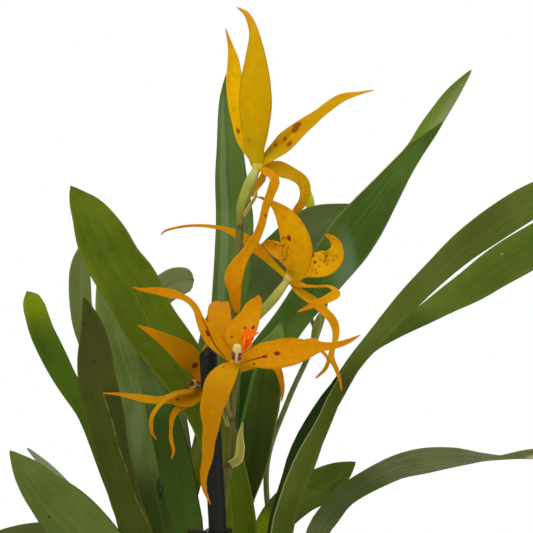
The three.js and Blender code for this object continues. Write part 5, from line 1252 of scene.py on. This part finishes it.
# Spots, faint ones and a callus are (across, place, width, length), the last two in mm. A mid line is its
# points of (place, across) and its width. Freckles are (place from, to, amount), with (across from, to) after
# them where they don't reach from side to side.
BLOOM_LOOKS = {
    "top": {
        "hub": (184, 168, 44),
        "tepals": [
            {**TOP_YELLOW, "faint": [(-0.45, 0.172, 1.0, 1.1)]},
            {**TOP_YELLOW, "main": (220, 171, 0), "spots": [(0.4, 0.275, 0.7, 1.1)]},
            {**TOP_YELLOW, "main": (186, 140, 0), "spots": [(0.55, 0.4, 1.2, 1.8), (0.35, 0.375, 1.2, 1.8),
                 (0.3, 0.275, 0.8, 0.9), (-0.4, 0.28, 1.1, 1.3), (0.5, 0.19, 0.6, 0.7)],
             "faint": [(0.4, 0.31, 1.1, 2.2), (0.5, 0.19, 1.4, 2.0), (0.6, 0.12, 1.2, 3.6),
                 (0.2, 0.25, 1.0, 1.6)]},
            {"main": (192, 146, 4)},
            {"main": (198, 134, 0), "spots": [(0.4, 0.375, 0.5, 0.6)]},
        ],
        "lip": {"main": (190, 126, 0)},
        "column": {"flanks": (0.4, 0.7)},
    },
    "right": {
        "hub": (186, 170, 84),
        "tepals": [
            {"main": (200, 142, 0), "base": (196, 152, 10), "freckles": (0.2, 0.62, 0.85, 0.3, 1.4),
             "spots": [(0.32, 0.48, 0.8, 1.3), (0.9, 0.43, 0.8, 0.45), (0.7, 0.36, 0.4, 0.4),
                 (0.85, 0.3, 0.3, 0.3), (0.55, 0.4, 0.3, 0.3)]},
            {"base": (196, 156, 10)},
            {"main": (208, 153, 2), "freckles": (0.25, 0.75, 0.7, -0.5, 0.9), "spots": [(0.3, 0.4, 0.55, 0.6),
                 (0.5, 0.585, 0.6, 0.6), (0.15, 0.525, 0.35, 0.4), (0.9, 0.4, 0.9, 0.5),
                 (-0.6, 0.39, 0.5, 0.4), (-0.1, 0.535, 0.35, 0.3)]},
            {"main": (198, 138, 0)},
            {"main": (196, 136, 0), "base": (200, 156, 10)},
        ],
        "lip": {"main": (202, 146, 4), "freckles": (0.25, 0.85, 0.9)},
        "column": {"flanks": (0.4, 0.7)},
    },
    "front": {
        "tepals": [
            {"main": (168, 112, 0), "base": (190, 142, 8), "spots": [(-0.55, 0.085, 0.35, 0.3)]},
            {"main": (188, 124, 0), "mid_line": ((0.08, 0.72), (0.42, -0.55), 0.13),
             "spots": [(0.12, 0.3, 0.65, 1.4)]},
            {"main": (193, 127, 0), "mid_line": ((0.05, -0.35), (0.26, 0.02), 0.1),
             "spots": [(-0.05, 0.24, 0.5, 1.1), (0.1, 0.335, 0.8, 1.1), (-0.7, 0.155, 0.5, 0.6),
                 (0.6, 0.185, 0.25, 0.25)]},
            {"main": (190, 124, 0)},
            {},
        ],
        "lip": {"main": (198, 132, 2), "callus": [(-0.55, 0.4, 2.6, 4.4), (-0.7, 0.28, 1.6, 4.2)],
            "spots": [(-0.1, 0.5, 0.5, 0.5), (-0.65, 0.56, 0.5, 0.8), (0.5, 0.345, 0.4, 0.4)]},
        "column": {"flanks": (0.46, 0.78)},
    },
    "left": {
        "tepals": [
            # the upper tepal's main gold is darkened as painted shade
            {"main": (158, 105, 0), "spots": [(0.1, 0.26, 1.3, 1.2)], "callus": [(0.85, 0.08, 1.1, 2.2)]},
            {"main": (180, 126, 2), "spots": [(0.0, 0.33, 0.45, 0.9)]},
            {"main": (176, 124, 0)},
            {"main": (180, 124, 0)},
            {},
        ],
        "lip": {"callus": [(0.0, 0.1, 3.0, 3.0)]},
        "column": {"flanks": (0.35, 0.72), "dark_end": 0.88},
    },
}


# ---------------------------------------------------------------- shapes made point by point

def shaped(name, verts, faces, material=None):
    """A mesh of points and faces, turned outwards, smoothed, painted and put in the scene."""
    mesh = bpy.data.meshes.new(name)
    mesh.from_pydata(verts, [], faces)
    if material:
        mesh.materials.append(material)
    return outward(name, mesh)


def outward(name, mesh, smoothed=True):
    """Turns a mesh's faces outwards, smooths it and puts it in the scene."""
    bm = bmesh.new()
    bm.from_mesh(mesh)
    bmesh.ops.recalc_face_normals(bm, faces=bm.faces)
    bm.to_mesh(mesh)
    bm.free()
    for polygon in mesh.polygons:
        polygon.use_smooth = smoothed
    piece = bpy.data.objects.new(name, mesh)
    bpy.context.scene.collection.objects.link(piece)
    return piece


def turned(name, profile, segments, material=None):
    """A closed lathe shape from (radius, height) pairs that start and end on the axis."""
    rows, verts = [], []
    for radius, height in profile:
        if radius < 1e-7:
            rows.append([len(verts)])
            verts.append((0.0, 0.0, height))
            continue
        rows.append(list(range(len(verts), len(verts) + segments)))
        for step in range(segments):
            angle = 2 * math.pi * step / segments
            verts.append((radius * math.cos(angle), radius * math.sin(angle), height))
    faces = []
    for lower, upper in zip(rows, rows[1:]):
        for step in range(segments):
            after = (step + 1) % segments
            if len(lower) == 1:
                faces.append((lower[0], upper[after], upper[step]))
            elif len(upper) == 1:
                faces.append((lower[step], lower[after], upper[0]))
            else:
                faces.append((lower[step], lower[after], upper[after], upper[step]))
    return shaped(name, verts, faces, material)


def eased(corners, radius):
    """Rounds the inner corners of an open outline of 2-D points."""
    result = [corners[0]]
    for before, corner, after in zip(corners, corners[1:], corners[2:]):
        here = Vector(corner)
        back, on = Vector(before) - here, Vector(after) - here
        cut = min(radius, back.length * 0.45, on.length * 0.45)
        first, last = here + back.normalized() * cut, here + on.normalized() * cut
        for step in range(5):
            t = step / 4
            result.append(tuple(first * (1 - t) ** 2 + here * 2 * t * (1 - t) + last * t ** 2))
    return result + [corners[-1]]


def pot_radius(pot, height):
    """The pot's inner radius at a height."""
    return mix(pot.foot_radius, pot.rim_radius - pot.rim_step, height / (pot.height - 0.001)) - pot.wall


def pot_drill(pot):
    """Rods that stand where the pot's floor is drained."""
    rods = bmesh.new()
    for hole in range(pot.drains):
        angle = 2 * math.pi * hole / pot.drains
        ring = bmesh.ops.create_cone(rods, cap_ends=True, segments=24, radius1=pot.drain_radius,
                                     radius2=pot.drain_radius, depth=0.02)
        spot = (pot.drain_circle * math.cos(angle), pot.drain_circle * math.sin(angle), 0.0)
        bmesh.ops.translate(rods, verts=ring["verts"], vec=spot)
    mesh = bpy.data.meshes.new("drill")
    rods.to_mesh(mesh)
    rods.free()
    return outward("drill", mesh, False)


def cut_with(piece, cutters):
    """Takes the cutters' shapes out of a piece, and the cutters out of the scene."""
    for cutter in cutters:
        piece.modifiers.new("Room", "BOOLEAN").object = cutter
    plain_copy(piece)
    for cutter in cutters:
        bpy.data.objects.remove(cutter)


def build_pot(pot, colours):
    """The pot: a tapered wall, a thick rolled rim band, a foot ring and drain holes."""
    rise, ease = 0.0012, 0.0008
    ring, hollow = pot.foot_radius - 0.005, pot.foot_radius - 0.006
    band = pot.height - pot.rim_band
    outside = pot_radius(pot, band) + pot.wall
    outer = [(0.0, rise), (hollow, rise), (ring, 0.0), (pot.foot_radius, 0.0),
             (outside, band - 0.0004), (pot.rim_radius - 0.0006, band + 0.0006),
             (pot.rim_radius, pot.height), (pot_radius(pot, pot.height), pot.height),
             (pot_radius(pot, pot.floor), pot.floor), (0.0, pot.floor)]
    shell = turned("pot_shell", eased(outer, ease), 112)
    cut_with(shell, [pot_drill(pot)])
    shell.data.materials.clear()
    shell.data.materials.append(plastic_finish("Pot plastic", colours.pot, 0.55, 0.12))
    put_on_plant(shell, "pot", "pot")


def chip_guide():
    """The places that loose chips of bark keep off, each with its room, as a mesh of points."""
    bulb_room, leaf_room, stem_room = 0.0098, 0.0062, 0.0068
    rooms = []
    for x, y in BULB_PLACES.values():
        rooms += [(x + aside, y, bulb_room) for aside in (-7, 0, 7)]
    for leaf in LEAVES.values():
        if leaf["on"] == "bark":
            x, y = leaf["line"][0][:2]
            rooms += [(x + aside, y, leaf_room) for aside in (-3, 3)]
    for point in (SPIKE["stem"][0], BACK_SPIKE["points"][0], STAKE_AT_BARK):
        rooms.append((*point[:2], stem_room))
    guide = bpy.data.meshes.new("guide")
    guide.from_pydata([(x * MM, y * MM, 0.0) for x, y, room in rooms], [], [])
    clear = guide.attributes.new("room", "FLOAT", "POINT")
    for index, (x, y, room) in enumerate(rooms):
        clear.data[index].value = room
    return guide


def build_bark(pot, colours):
    """The bark: a rough bed that fills the pot, and loose chips on it."""
    steps, gap, top = 26, 0.0006, pot.bark_top
    rim = pot_radius(pot, top) - gap
    profile = [(0.0, pot.floor + 0.0005), (pot_radius(pot, pot.floor) - gap, pot.floor + 0.0005)]
    profile += [(rim * (1 - step / steps), top) for step in range(steps + 1)]
    bed = turned("bark_bed", profile, 90, bark_finish("Bark bed", shade_of(colours.bark, 0.6), False))
    for vertex in bed.data.vertices:
        if vertex.co.z > top - 0.001 and vertex.co.xy.length < rim - 0.0005:
            bump = noise.noise(vertex.co * 170) + 0.5 * noise.noise(vertex.co * 420)
            vertex.co.z += 0.0018 * bump
    chips = grown("loose_bark", "Loose bark", chip_guide(), {
        "Spread": rim - 0.0075, "Bed height": top + 0.001, "Spacing": pot.chip_spacing,
        "Chip length": pot.chip_length, "Seed": pot.chip_seed,
        "Material": bark_finish("Loose bark", colours.bark, True)})
    put_on_plant(joined("bark_chips", [chips, bed]), "bark", "bark")


BULB_OUTLINE = ((0, 0), (0.5, 0.012), (0.8, 0.09), (0.97, 0.26), (1, 0.44), (0.91, 0.63), (0.68, 0.82),
                (0.38, 0.95), (0.16, 0.995), (0, 1))


def bulb_profile(t):
    """Radius and height shares of a pseudobulb's outline at t."""
    place = t * (len(BULB_OUTLINE) - 1)
    low = min(int(place), len(BULB_OUTLINE) - 2)
    picks = [BULB_OUTLINE[max(0, min(len(BULB_OUTLINE) - 1, low + step))] for step in (-1, 0, 1, 2)]
    share = place - low
    result = []
    for a, b, c, d in zip(*picks):
        curve = 2 * a - 5 * b + 4 * c - d + share * (3 * (b - c) + d - a)
        result.append(b + 0.5 * share * (c - a + share * curve))
    return max(result[0], 0.0), result[1]


def bulb_radius_at(rise):
    """A pseudobulb's radius share at a height share."""
    best = min((bulb_profile(step / 60) for step in range(61)), key=lambda pair: abs(pair[1] - rise))
    return best[0]


def build_sheath(name, spot, sizes, material, facing, share, seed):
    """A torn, papery sheath that wraps one side of a pseudobulb's foot."""
    across, up, turn = 26, 14, 1.35
    verts, faces = [], []
    for row in range(up + 1):
        for column in range(across + 1):
            side = column / across * 2 - 1
            torn = 0.75 + 0.25 * noise.noise(Vector((side * 4.5, seed * 3.1, 0.0))) - 0.35 * abs(side) ** 2.2
            rise = row / up
            height = sizes.sheath * share * rise * torn * 1.25
            radius = bulb_radius_at(height / sizes.height)
            angle = facing + side * turn
            off = 0.0006 + 0.0012 * rise ** 3 + 0.0004 * noise.noise(Vector((side * 6, rise * 5, seed)))
            verts.append(((radius * sizes.width / 2 + off) * math.cos(angle) + spot[0] * MM,
                          (radius * sizes.depth / 2 + off) * math.sin(angle) + spot[1] * MM,
                          sizes.foot + 0.001 + height))
            if row and column:
                last, under = len(verts) - 1, len(verts) - across - 2
                faces.append((under - 1, under, last, last - 1))
    sheath = shaped(name, verts, faces, material)
    wall = sheath.modifiers.new("Wall", "SOLIDIFY")
    wall.thickness, wall.offset = 0.0003, 0.0
    return plain_copy(sheath)


def build_bulb(name, spot, sizes, materials, seed):
    """One furrowed pseudobulb with its torn dry sheaths."""
    rings, segments, furrows = 34, 72, 11
    green, paper = materials
    profile = [bulb_profile(ring / rings) for ring in range(rings + 1)]
    profile = [(radius, height * sizes.height + sizes.foot) for radius, height in profile]
    profile[0], profile[-1] = (0.0, profile[0][1]), (0.0, profile[-1][1])
    bulb = turned(f"{name}_bulb", profile, segments, green)
    # ridge is 1 on a ridge and 0 in a furrow; the bulb's finish paints shade into the furrows from it
    ridge = bulb.data.attributes.new("ridge", "FLOAT", "POINT")
    for vertex in bulb.data.vertices:
        x, y, z = vertex.co
        angle = math.atan2(y, x)
        rise = (z - sizes.foot) / sizes.height
        wander = 1.6 * noise.noise(Vector((math.cos(angle) * 1.5, math.sin(angle) * 1.5, rise * 1.2 + seed)))
        wave = 0.5 + 0.5 * math.cos(furrows * angle + wander * 2.4)
        deep = sizes.furrow * (1 - wave) ** 1.6 * math.sin(math.pi * held(rise)) ** 0.6
        ridge.data[vertex.index].value = wave
        reach = 1 - deep / (sizes.width / 2)
        vertex.co = (x * reach * sizes.width / 2 + spot[0] * MM,
                     y * reach * sizes.depth / 2 + spot[1] * MM, z)
    pieces = [bulb]
    dice = random.Random(seed)
    for turn in range(3):
        facing, share = dice.uniform(0, 0.8) + turn * 2.1, dice.uniform(0.55, 1.0)
        sheath = f"{name}_sheath_{turn}"
        pieces.append(build_sheath(sheath, spot, sizes, paper, facing, share, seed + turn))
    put_on_plant(joined(f"{name}_bulb", pieces), "bulb", f"bulb_{name}")


def build_leaf(name, leaf, seed, sizes):
    """One strap leaf."""
    look = LEAF_LOOKS[name]
    material = leaf_finish(f"Leaf {name.replace('_', ' ')}", look, seed)
    strap = blade(f"{name}_leaf", leaf, material, sizes, softness=1.25, wave=sizes.edge_wave, waves=6.0,
                  wander=0.05, phase=seed * 1.7, rounding=look.get("rounding", 0.012))
    put_on_plant(strap, "leaf", f"leaf_{name}")


def from_centre(bloom, part):
    """A tepal or a lip whose line starts at the middle of its bloom."""
    return {**part, "line": [[*bloom["centre"], part["foot"]], *part["line"]]}


def build_hub(name, centre, sizes, tone):
    """The knot where the tepals meet."""
    mesh = bpy.data.meshes.new("hub")
    ball = bmesh.new()
    bmesh.ops.create_icosphere(ball, subdivisions=3, radius=sizes.hub_radius)
    for vertex in ball.verts:
        vertex.co *= 1 + 0.12 * noise.noise(vertex.co * 500)
        vertex.co += Vector(centre) * MM
    ball.to_mesh(mesh)
    ball.free()
    mesh.materials.append(stem_finish(f"Hub {name}", tone, shade_of(tone, 1.2), 0.3))
    return outward("hub", mesh)


def build_tepals(name, bloom, looks, seed, sizes, colours):
    """The five tepals of a bloom on their hub."""
    tepals = []
    for index, (tepal, look) in enumerate(zip(bloom["tepals"], looks["tepals"])):
        shape, own_seed = from_centre(bloom, tepal), seed + index
        material = petal_finish(f"Tepal {name} {index + 1}", shape, look, own_seed, colours)
        tepals.append(blade(f"{name}_tepal_{index}", shape, material, sizes, softness=1.5, wave=sizes.ruffle,
                            waves=4.0, wander=0.16, phase=own_seed, rounding=0.02))
    hub = build_hub(name, bloom["centre"], sizes, paint(*looks.get("hub", (196, 140, 8))))
    put_on_plant(joined(f"{name}_bloom_petals", [*tepals, hub]), "tepal", f"bloom_{name}_tepals")


def build_lip(name, bloom, look, seed, sizes, colours):
    """The lip of a bloom, with the teeth of its callus."""
    shape = from_centre(bloom, bloom["lip"])
    material = petal_finish(f"Lip {name}", shape, look, seed, colours)
    lip = [blade(f"{name}_bloom_lip", shape, material, sizes, softness=1.5, wave=sizes.ruffle * 1.4,
                 waves=5.0, wander=0.22, phase=seed, rounding=0.05)]
    if "teeth" in bloom:
        red = stem_finish(f"Callus {name}", colours.callus, paint(240, 112, 8), 0.4)
        for tooth, thick in bloom["teeth"]:
            lip.append(rod("tooth", tooth, lambda t: thick * MM * (1.15 - 0.75 * t), (0.0004, 0.0006),
                           red, 20))
    put_on_plant(joined(f"{name}_bloom_lip", lip), "lip", f"bloom_{name}_lip")


def build_column(name, bloom, look, sizes, colours):
    """The column of a bloom, swollen towards its cap."""
    cap_length, widest_at, form = 1.7, 0.62, bloom["column"]
    line = [bloom["centre"], *form["points"]]
    before, end = Vector(line[-2]), Vector(line[-1])
    points = [*line, tuple(end + (end - before).normalized() * cap_length)]

    def radius(t):
        swell = 0.84 + 0.3 * math.exp(-((t - widest_at) / 0.2) ** 2)
        return sizes.column_radius * form["girth"] / 1.5 * swell
    material = column_finish(f"Column {name}", colours, look)
    column = rod(f"{name}_bloom_column", points, radius, (0.0004, 0.0016), material, 36, 20, 2, 0.06)
    put_on_plant(column, "column", f"bloom_{name}_column")


def build_bloom(name, bloom, seed, sizes, colours):
    """One bloom: five tepals on a hub, the lip and the column, each painted by its own line."""
    looks = BLOOM_LOOKS[name]
    build_tepals(name, bloom, looks, seed + 1, sizes, colours)
    build_lip(name, bloom, looks["lip"], seed + 6, sizes, colours)
    build_column(name, bloom, looks["column"], sizes, colours)


def build_spike(sizes, blooms, colours):
    """The flower spike: a jointed stem, four ribbed stalks and three bracts."""
    joint_tone = paint(84, 66, 40)
    steps, joint_half = 200, 0.0016
    stem_line, length = through(SPIKE["stem"], steps), line_length(SPIKE["stem"])
    joints = [min(range(steps + 1), key=lambda i: abs(stem_line[i].z - height * MM)) / steps
              for height in JOINT_HEIGHTS]

    def stem_radius(t):
        knot = sum(math.exp(-((t - at) * length / joint_half) ** 2) for at in joints)
        return sizes.stem_radius * (1.04 - 0.1 * t) * (1 + 0.13 * knot)
    olive = stem_finish("Flower stem", colours.stem, paint(108, 104, 44), 0.4,
                        [(at, 0.007, joint_tone) for at in joints])
    pieces = [rod("stem", SPIKE["stem"], stem_radius, (0.001, 0.003), olive, 180, 20, 9, 0.025)]
    green = stem_finish("Flower stalk", colours.stalk, paint(154, 156, 62), 0.35, [(0.03, 0.05, joint_tone)],
                        paint(112, 104, 40), paint(196, 186, 104))
    for name, arm in SPIKE["stalks"].items():
        def radius(t):
            swell = smooth(held((t - 0.12) / 0.3)) * (1 - smooth(held((t - 0.72) / 0.28)))
            return mix(arm["girth"], arm["ovary"], swell) * sizes.stalk_girth * MM
        whole = [*arm["points"], BLOOMS[name]["centre"]]
        pieces.append(rod(f"stalk_{name}", whole, radius, (0.001, 0.001), green, 48, 24, 6, 0.07))
    for seed, (name, bract) in enumerate(BRACTS.items(), 40):
        material = leaf_finish(f"Bract {name}", BRACT_LOOK, float(seed))
        pieces.append(blade(f"bract_{name}", bract, material, blooms, softness=1.6, wave=0.0004, waves=3.0,
                            wander=0.12, phase=float(seed), rounding=0.02))
    put_on_plant(joined("flower_stalks", pieces), "stem", "flower_spike")


def build_back_spike(sizes):
    """The budding spike at the back, with slim buds."""
    olive = stem_finish("Back stem", paint(96, 104, 52), paint(128, 134, 74))
    fresh = stem_finish("Bud", paint(150, 156, 24), paint(186, 186, 40), 0.8)
    faded = stem_finish("Faded bud", paint(98, 100, 34), paint(128, 128, 56), 0.6)
    pieces = [rod("back_stem", BACK_SPIKE["points"], lambda t: sizes.back_radius * (1.1 - 0.2 * t),
                  (0.001, 0.001), olive, 150, 16, 7, 0.03)]
    for start, middle, tip in BACK_SPIKE["buds"]:
        pieces.append(rod("bud_stalk", [start, middle, tip], lambda t: 0.0009, (0.0006, 0.0006),
                          olive, 24, 12))
        thick, material = (0.0021, fresh) if start[2] > FADED_BELOW else (0.0017, faded)

        def girth(t):
            if t < 0.96:
                return thick * max(0.0, 1 - abs(2 * t - 0.92) ** 2.1) ** 0.75
            return thick * (1 - t) * 2.2
        along = (Vector(tip) - Vector(middle)).normalized() * BUD_HALF
        centre = Vector(middle).lerp(Vector(tip), 0.6)
        ends = [tuple(centre - along), tuple(centre), tuple(centre + along)]
        pieces.append(stalk("bud", ends, girth, material, 32, 24, 6, 0.06))
    put_on_plant(joined("budding_spike", pieces), "stem", "back_spike")


def build_stake(sizes, colours):
    """The support stake: a straight rod of black plastic with a softly rounded top."""
    line, top_ease, close = [STAKE_FOOT, STAKE_TIP], 0.0006, 0.0002
    length = line_length(line)
    material = plastic_finish("Stake plastic", colours.stake, 0.45, 0.04)
    stake = rod("support_stake", line,
                lambda t: sizes.stake_radius * (0.84 + 0.16 * rounded_ends(t, length, 0.0, top_ease)),
                (close, close), material, 360, 28)
    put_on_plant(stake, "stake", "stake")


def build_clip(sizes, colours):
    """The clip: a bevelled band round the stake and the stem, with a finger tab."""
    steps, tab_half, tab_length, room = 32, 0.0015, 0.007, 0.0003
    lean = (CLIP_BOTTOM + sizes.clip_height / 2 / MM - STAKE_FOOT[2]) / (STAKE_TOP[2] - STAKE_FOOT[2])
    middle = mix(STAKE_FOOT[0], STAKE_TOP[0], lean) * MM
    half = sizes.stake_radius + sizes.clip_wall
    front = STAKE_FOOT[1] * MM
    back = SPIKE["stem"][3][1] * MM + sizes.stem_radius + sizes.clip_wall - half

    def arc(centre, start):
        angles = [start + math.pi * step / steps for step in range(steps + 1)]
        return [(middle + half * math.cos(angle), centre + half * math.sin(angle)) for angle in angles]
    tab = ((front + back) / 2 - tab_half, (front + back) / 2 + tab_half)
    left = middle - half
    outline = arc(back, 0.0) + [(left, tab[1]), (left - tab_length, tab[1]), (left - tab_length, tab[0]),
                                (left, tab[0])] + arc(front, math.pi)
    verts = [(x, y, CLIP_BOTTOM * MM + rise) for rise in (0.0, sizes.clip_height) for x, y in outline]
    count = len(outline)
    faces = [tuple(reversed(range(count))), tuple(range(count, 2 * count))]
    faces += [(i, (i + 1) % count, (i + 1) % count + count, i + count) for i in range(count)]
    material = plastic_finish("Clip plastic", shade_of(colours.stake, 0.8), 0.34, 0.08)
    clip = shaped("stake_clip", verts, faces, material)
    edge = clip.modifiers.new("Edges", "BEVEL")
    edge.width, edge.segments, edge.limit_method, edge.angle_limit = 0.0005, 3, "ANGLE", 0.7
    cutters = [stalk("room", line, lambda t: radius + room, material, 120, 32) for line, radius in (
        ([STAKE_FOOT, STAKE_TIP], sizes.stake_radius), (SPIKE["stem"], sizes.stem_radius * 1.04))]
    cut_with(clip, cutters)
    put_on_plant(clip, "clip", "clip")


# ---------------------------------------------------------------- stage

# the camera looks level along +Y; the view is VIEW_WIDTH wide at the plant's own plane
CAMERA_PLACE = (0.012, -0.900, 0.320)
VIEW_WIDTH = 0.2132
SENSOR = 36.0


def area_light(name, place, aim, size, power):
    """A soft square light that points at `aim`."""
    lamp = bpy.data.lights.new(name, "AREA")
    lamp.size, lamp.energy = size, power
    light = bpy.data.objects.new(name, lamp)
    light.location = place
    light.rotation_euler = (Vector(aim) - Vector(place)).to_track_quat("-Z", "Y").to_euler()
    light.visible_camera = False
    bpy.context.scene.collection.objects.link(light)


def set_stage():
    """White surroundings, a plain pale floor, soft lights and the camera."""
    scene = bpy.context.scene
    world = bpy.data.worlds.new("Studio")
    world.use_nodes = True
    world.node_tree.nodes.clear()
    w = Wiring(world.node_tree)
    seen = w.node("ShaderNodeLightPath").outputs["Is Camera Ray"]
    level = w.ranged(seen, 0.0, 1.0, 0.72, 1.0, "LINEAR")
    sky = w.node("ShaderNodeBackground", {"Color": (1.0, 1.0, 1.0, 1.0), "Strength": level})
    w.node("ShaderNodeOutputWorld", {"Surface": sky.outputs[0]})
    scene.world = world
    scene.view_settings.view_transform = "Standard"
    scene.view_settings.look = "None"

    radius, top, bottom = 1.5, -0.0003, -0.004
    profile = [(0.0, bottom), (radius, bottom), (radius, top), (0.0, top)]
    turned("floor", profile, 96, floor_finish("Floor"))

    area_light("Key light", (-0.55, -1.0, 1.15), (0.0, 0.0, 0.28), 0.9, 9.0)
    area_light("Fill light", (1.1, -0.9, 0.55), (0.02, 0.0, 0.28), 1.0, 3.0)
    area_light("Top light", (0.1, 0.35, 1.35), (0.0, 0.0, 0.25), 1.0, 5.0)

    lens = bpy.data.cameras.new("Camera")
    lens.sensor_width = SENSOR
    lens.lens = SENSOR * -CAMERA_PLACE[1] / VIEW_WIDTH
    camera = bpy.data.objects.new("Camera", lens)
    camera.location = CAMERA_PLACE
    camera.rotation_euler = (math.pi / 2, 0.0, 0.0)
    scene.collection.objects.link(camera)
    scene.camera = camera


# ---------------------------------------------------------------- operators and panel

class ORCHID_OT_pot(bpy.types.Operator):
    """Makes the pot"""
    bl_idname = "orchid.make_pot"
    bl_label = "Make the pot"

    def execute(self, context):
        build_pot(context.scene.orchid_pot, context.scene.orchid_colours)
        return {"FINISHED"}


class ORCHID_OT_bark(bpy.types.Operator):
    """Fills the pot with bark"""
    bl_idname = "orchid.make_bark"
    bl_label = "Make the bark"

    def execute(self, context):
        build_bark(context.scene.orchid_pot, context.scene.orchid_colours)
        return {"FINISHED"}


class ORCHID_OT_bulbs(bpy.types.Operator):
    """Makes the pseudobulbs and their dry sheaths"""
    bl_idname = "orchid.make_bulbs"
    bl_label = "Make the pseudobulbs"

    def execute(self, context):
        colours = context.scene.orchid_colours
        materials = bulb_finish("Pseudobulb", colours.bulb), paper_finish("Dry sheath", colours.sheath)
        for index, (name, place) in enumerate(BULB_PLACES.items()):
            build_bulb(name, place, context.scene.orchid_bulbs, materials, index * 7 + 3)
        return {"FINISHED"}


class ORCHID_OT_leaves(bpy.types.Operator):
    """Makes the strap leaves"""
    bl_idname = "orchid.make_leaves"
    bl_label = "Make the leaves"

    def execute(self, context):
        for seed, (name, leaf) in enumerate(LEAVES.items(), 1):
            build_leaf(name, leaf, float(seed), context.scene.orchid_leaves)
        return {"FINISHED"}


class ORCHID_OT_spike(bpy.types.Operator):
    """Makes the flower spike's stem, stalks and bracts"""
    bl_idname = "orchid.make_spike"
    bl_label = "Make the flower spike"

    def execute(self, context):
        scene = context.scene
        build_spike(scene.orchid_spikes, scene.orchid_blooms, scene.orchid_colours)
        return {"FINISHED"}


class ORCHID_OT_back_spike(bpy.types.Operator):
    """Makes the budding spike at the back"""
    bl_idname = "orchid.make_back_spike"
    bl_label = "Make the budding spike"

    def execute(self, context):
        build_back_spike(context.scene.orchid_spikes)
        return {"FINISHED"}


class ORCHID_OT_blooms(bpy.types.Operator):
    """Makes the four blooms: tepals, lips and columns"""
    bl_idname = "orchid.make_blooms"
    bl_label = "Make the blooms"

    def execute(self, context):
        scene = context.scene
        for index, (name, bloom) in enumerate(BLOOMS.items()):
            build_bloom(name, bloom, 10.0 * index, scene.orchid_blooms, scene.orchid_colours)
        return {"FINISHED"}


class ORCHID_OT_stake(bpy.types.Operator):
    """Makes the support stake and its clip"""
    bl_idname = "orchid.make_stake"
    bl_label = "Make the stake and clip"

    def execute(self, context):
        build_stake(context.scene.orchid_spikes, context.scene.orchid_colours)
        build_clip(context.scene.orchid_spikes, context.scene.orchid_colours)
        return {"FINISHED"}


class ORCHID_OT_stage(bpy.types.Operator):
    """Sets the floor, the lights, the surroundings and the camera"""
    bl_idname = "orchid.set_stage"
    bl_label = "Set the stage"

    def execute(self, context):
        set_stage()
        return {"FINISHED"}


class ORCHID_PT_panel(bpy.types.Panel):
    """The orchid's sizes, colours and steps"""
    bl_label = "Brassia Orchid"
    bl_idname = "ORCHID_PT_panel"
    bl_space_type = "VIEW_3D"
    bl_region_type = "UI"
    bl_category = "Orchid"

    def draw(self, context):
        for title, group in SETTINGS.items():
            box = self.layout.box()
            box.label(text=title)
            settings = getattr(context.scene, group[0])
            for field in settings.bl_rna.properties:
                if field.identifier not in ("rna_type", "name"):
                    box.prop(settings, field.identifier)
        for step in STEPS:
            self.layout.operator(step.bl_idname)


SETTINGS = {
    "Pot and bark": ("orchid_pot", OrchidPotSizes),
    "Pseudobulbs": ("orchid_bulbs", OrchidBulbSizes),
    "Leaves": ("orchid_leaves", OrchidLeafSizes),
    "Blooms": ("orchid_blooms", OrchidBloomSizes),
    "Spikes and stake": ("orchid_spikes", OrchidSpikeSizes),
    "Colours": ("orchid_colours", OrchidColours),
}
STEPS = (ORCHID_OT_stage, ORCHID_OT_pot, ORCHID_OT_bark, ORCHID_OT_bulbs, ORCHID_OT_leaves, ORCHID_OT_spike,
         ORCHID_OT_back_spike, ORCHID_OT_blooms, ORCHID_OT_stake)


def register():
    """Makes the settings, the steps and the panel known to Blender."""
    for attribute, group in SETTINGS.values():
        bpy.utils.register_class(group)
        setattr(bpy.types.Scene, attribute, bpy.props.PointerProperty(type=group))
    for step in STEPS:
        bpy.utils.register_class(step)
    bpy.utils.register_class(ORCHID_PT_panel)


def unregister():
    """Takes the panel, the steps and the settings out again."""
    bpy.utils.unregister_class(ORCHID_PT_panel)
    for step in reversed(STEPS):
        bpy.utils.unregister_class(step)
    for attribute, group in reversed(SETTINGS.values()):
        delattr(bpy.types.Scene, attribute)
        bpy.utils.unregister_class(group)


def main():
    """Builds the whole orchid."""
    register()
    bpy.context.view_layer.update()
    bpy.ops.orchid.set_stage()
    bpy.ops.orchid.make_pot()
    bpy.ops.orchid.make_bark()
    bpy.ops.orchid.make_bulbs()
    bpy.ops.orchid.make_leaves()
    bpy.ops.orchid.make_spike()
    bpy.ops.orchid.make_back_spike()
    bpy.ops.orchid.make_blooms()
    bpy.ops.orchid.make_stake()
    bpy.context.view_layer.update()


if __name__ == "__main__":
    main()
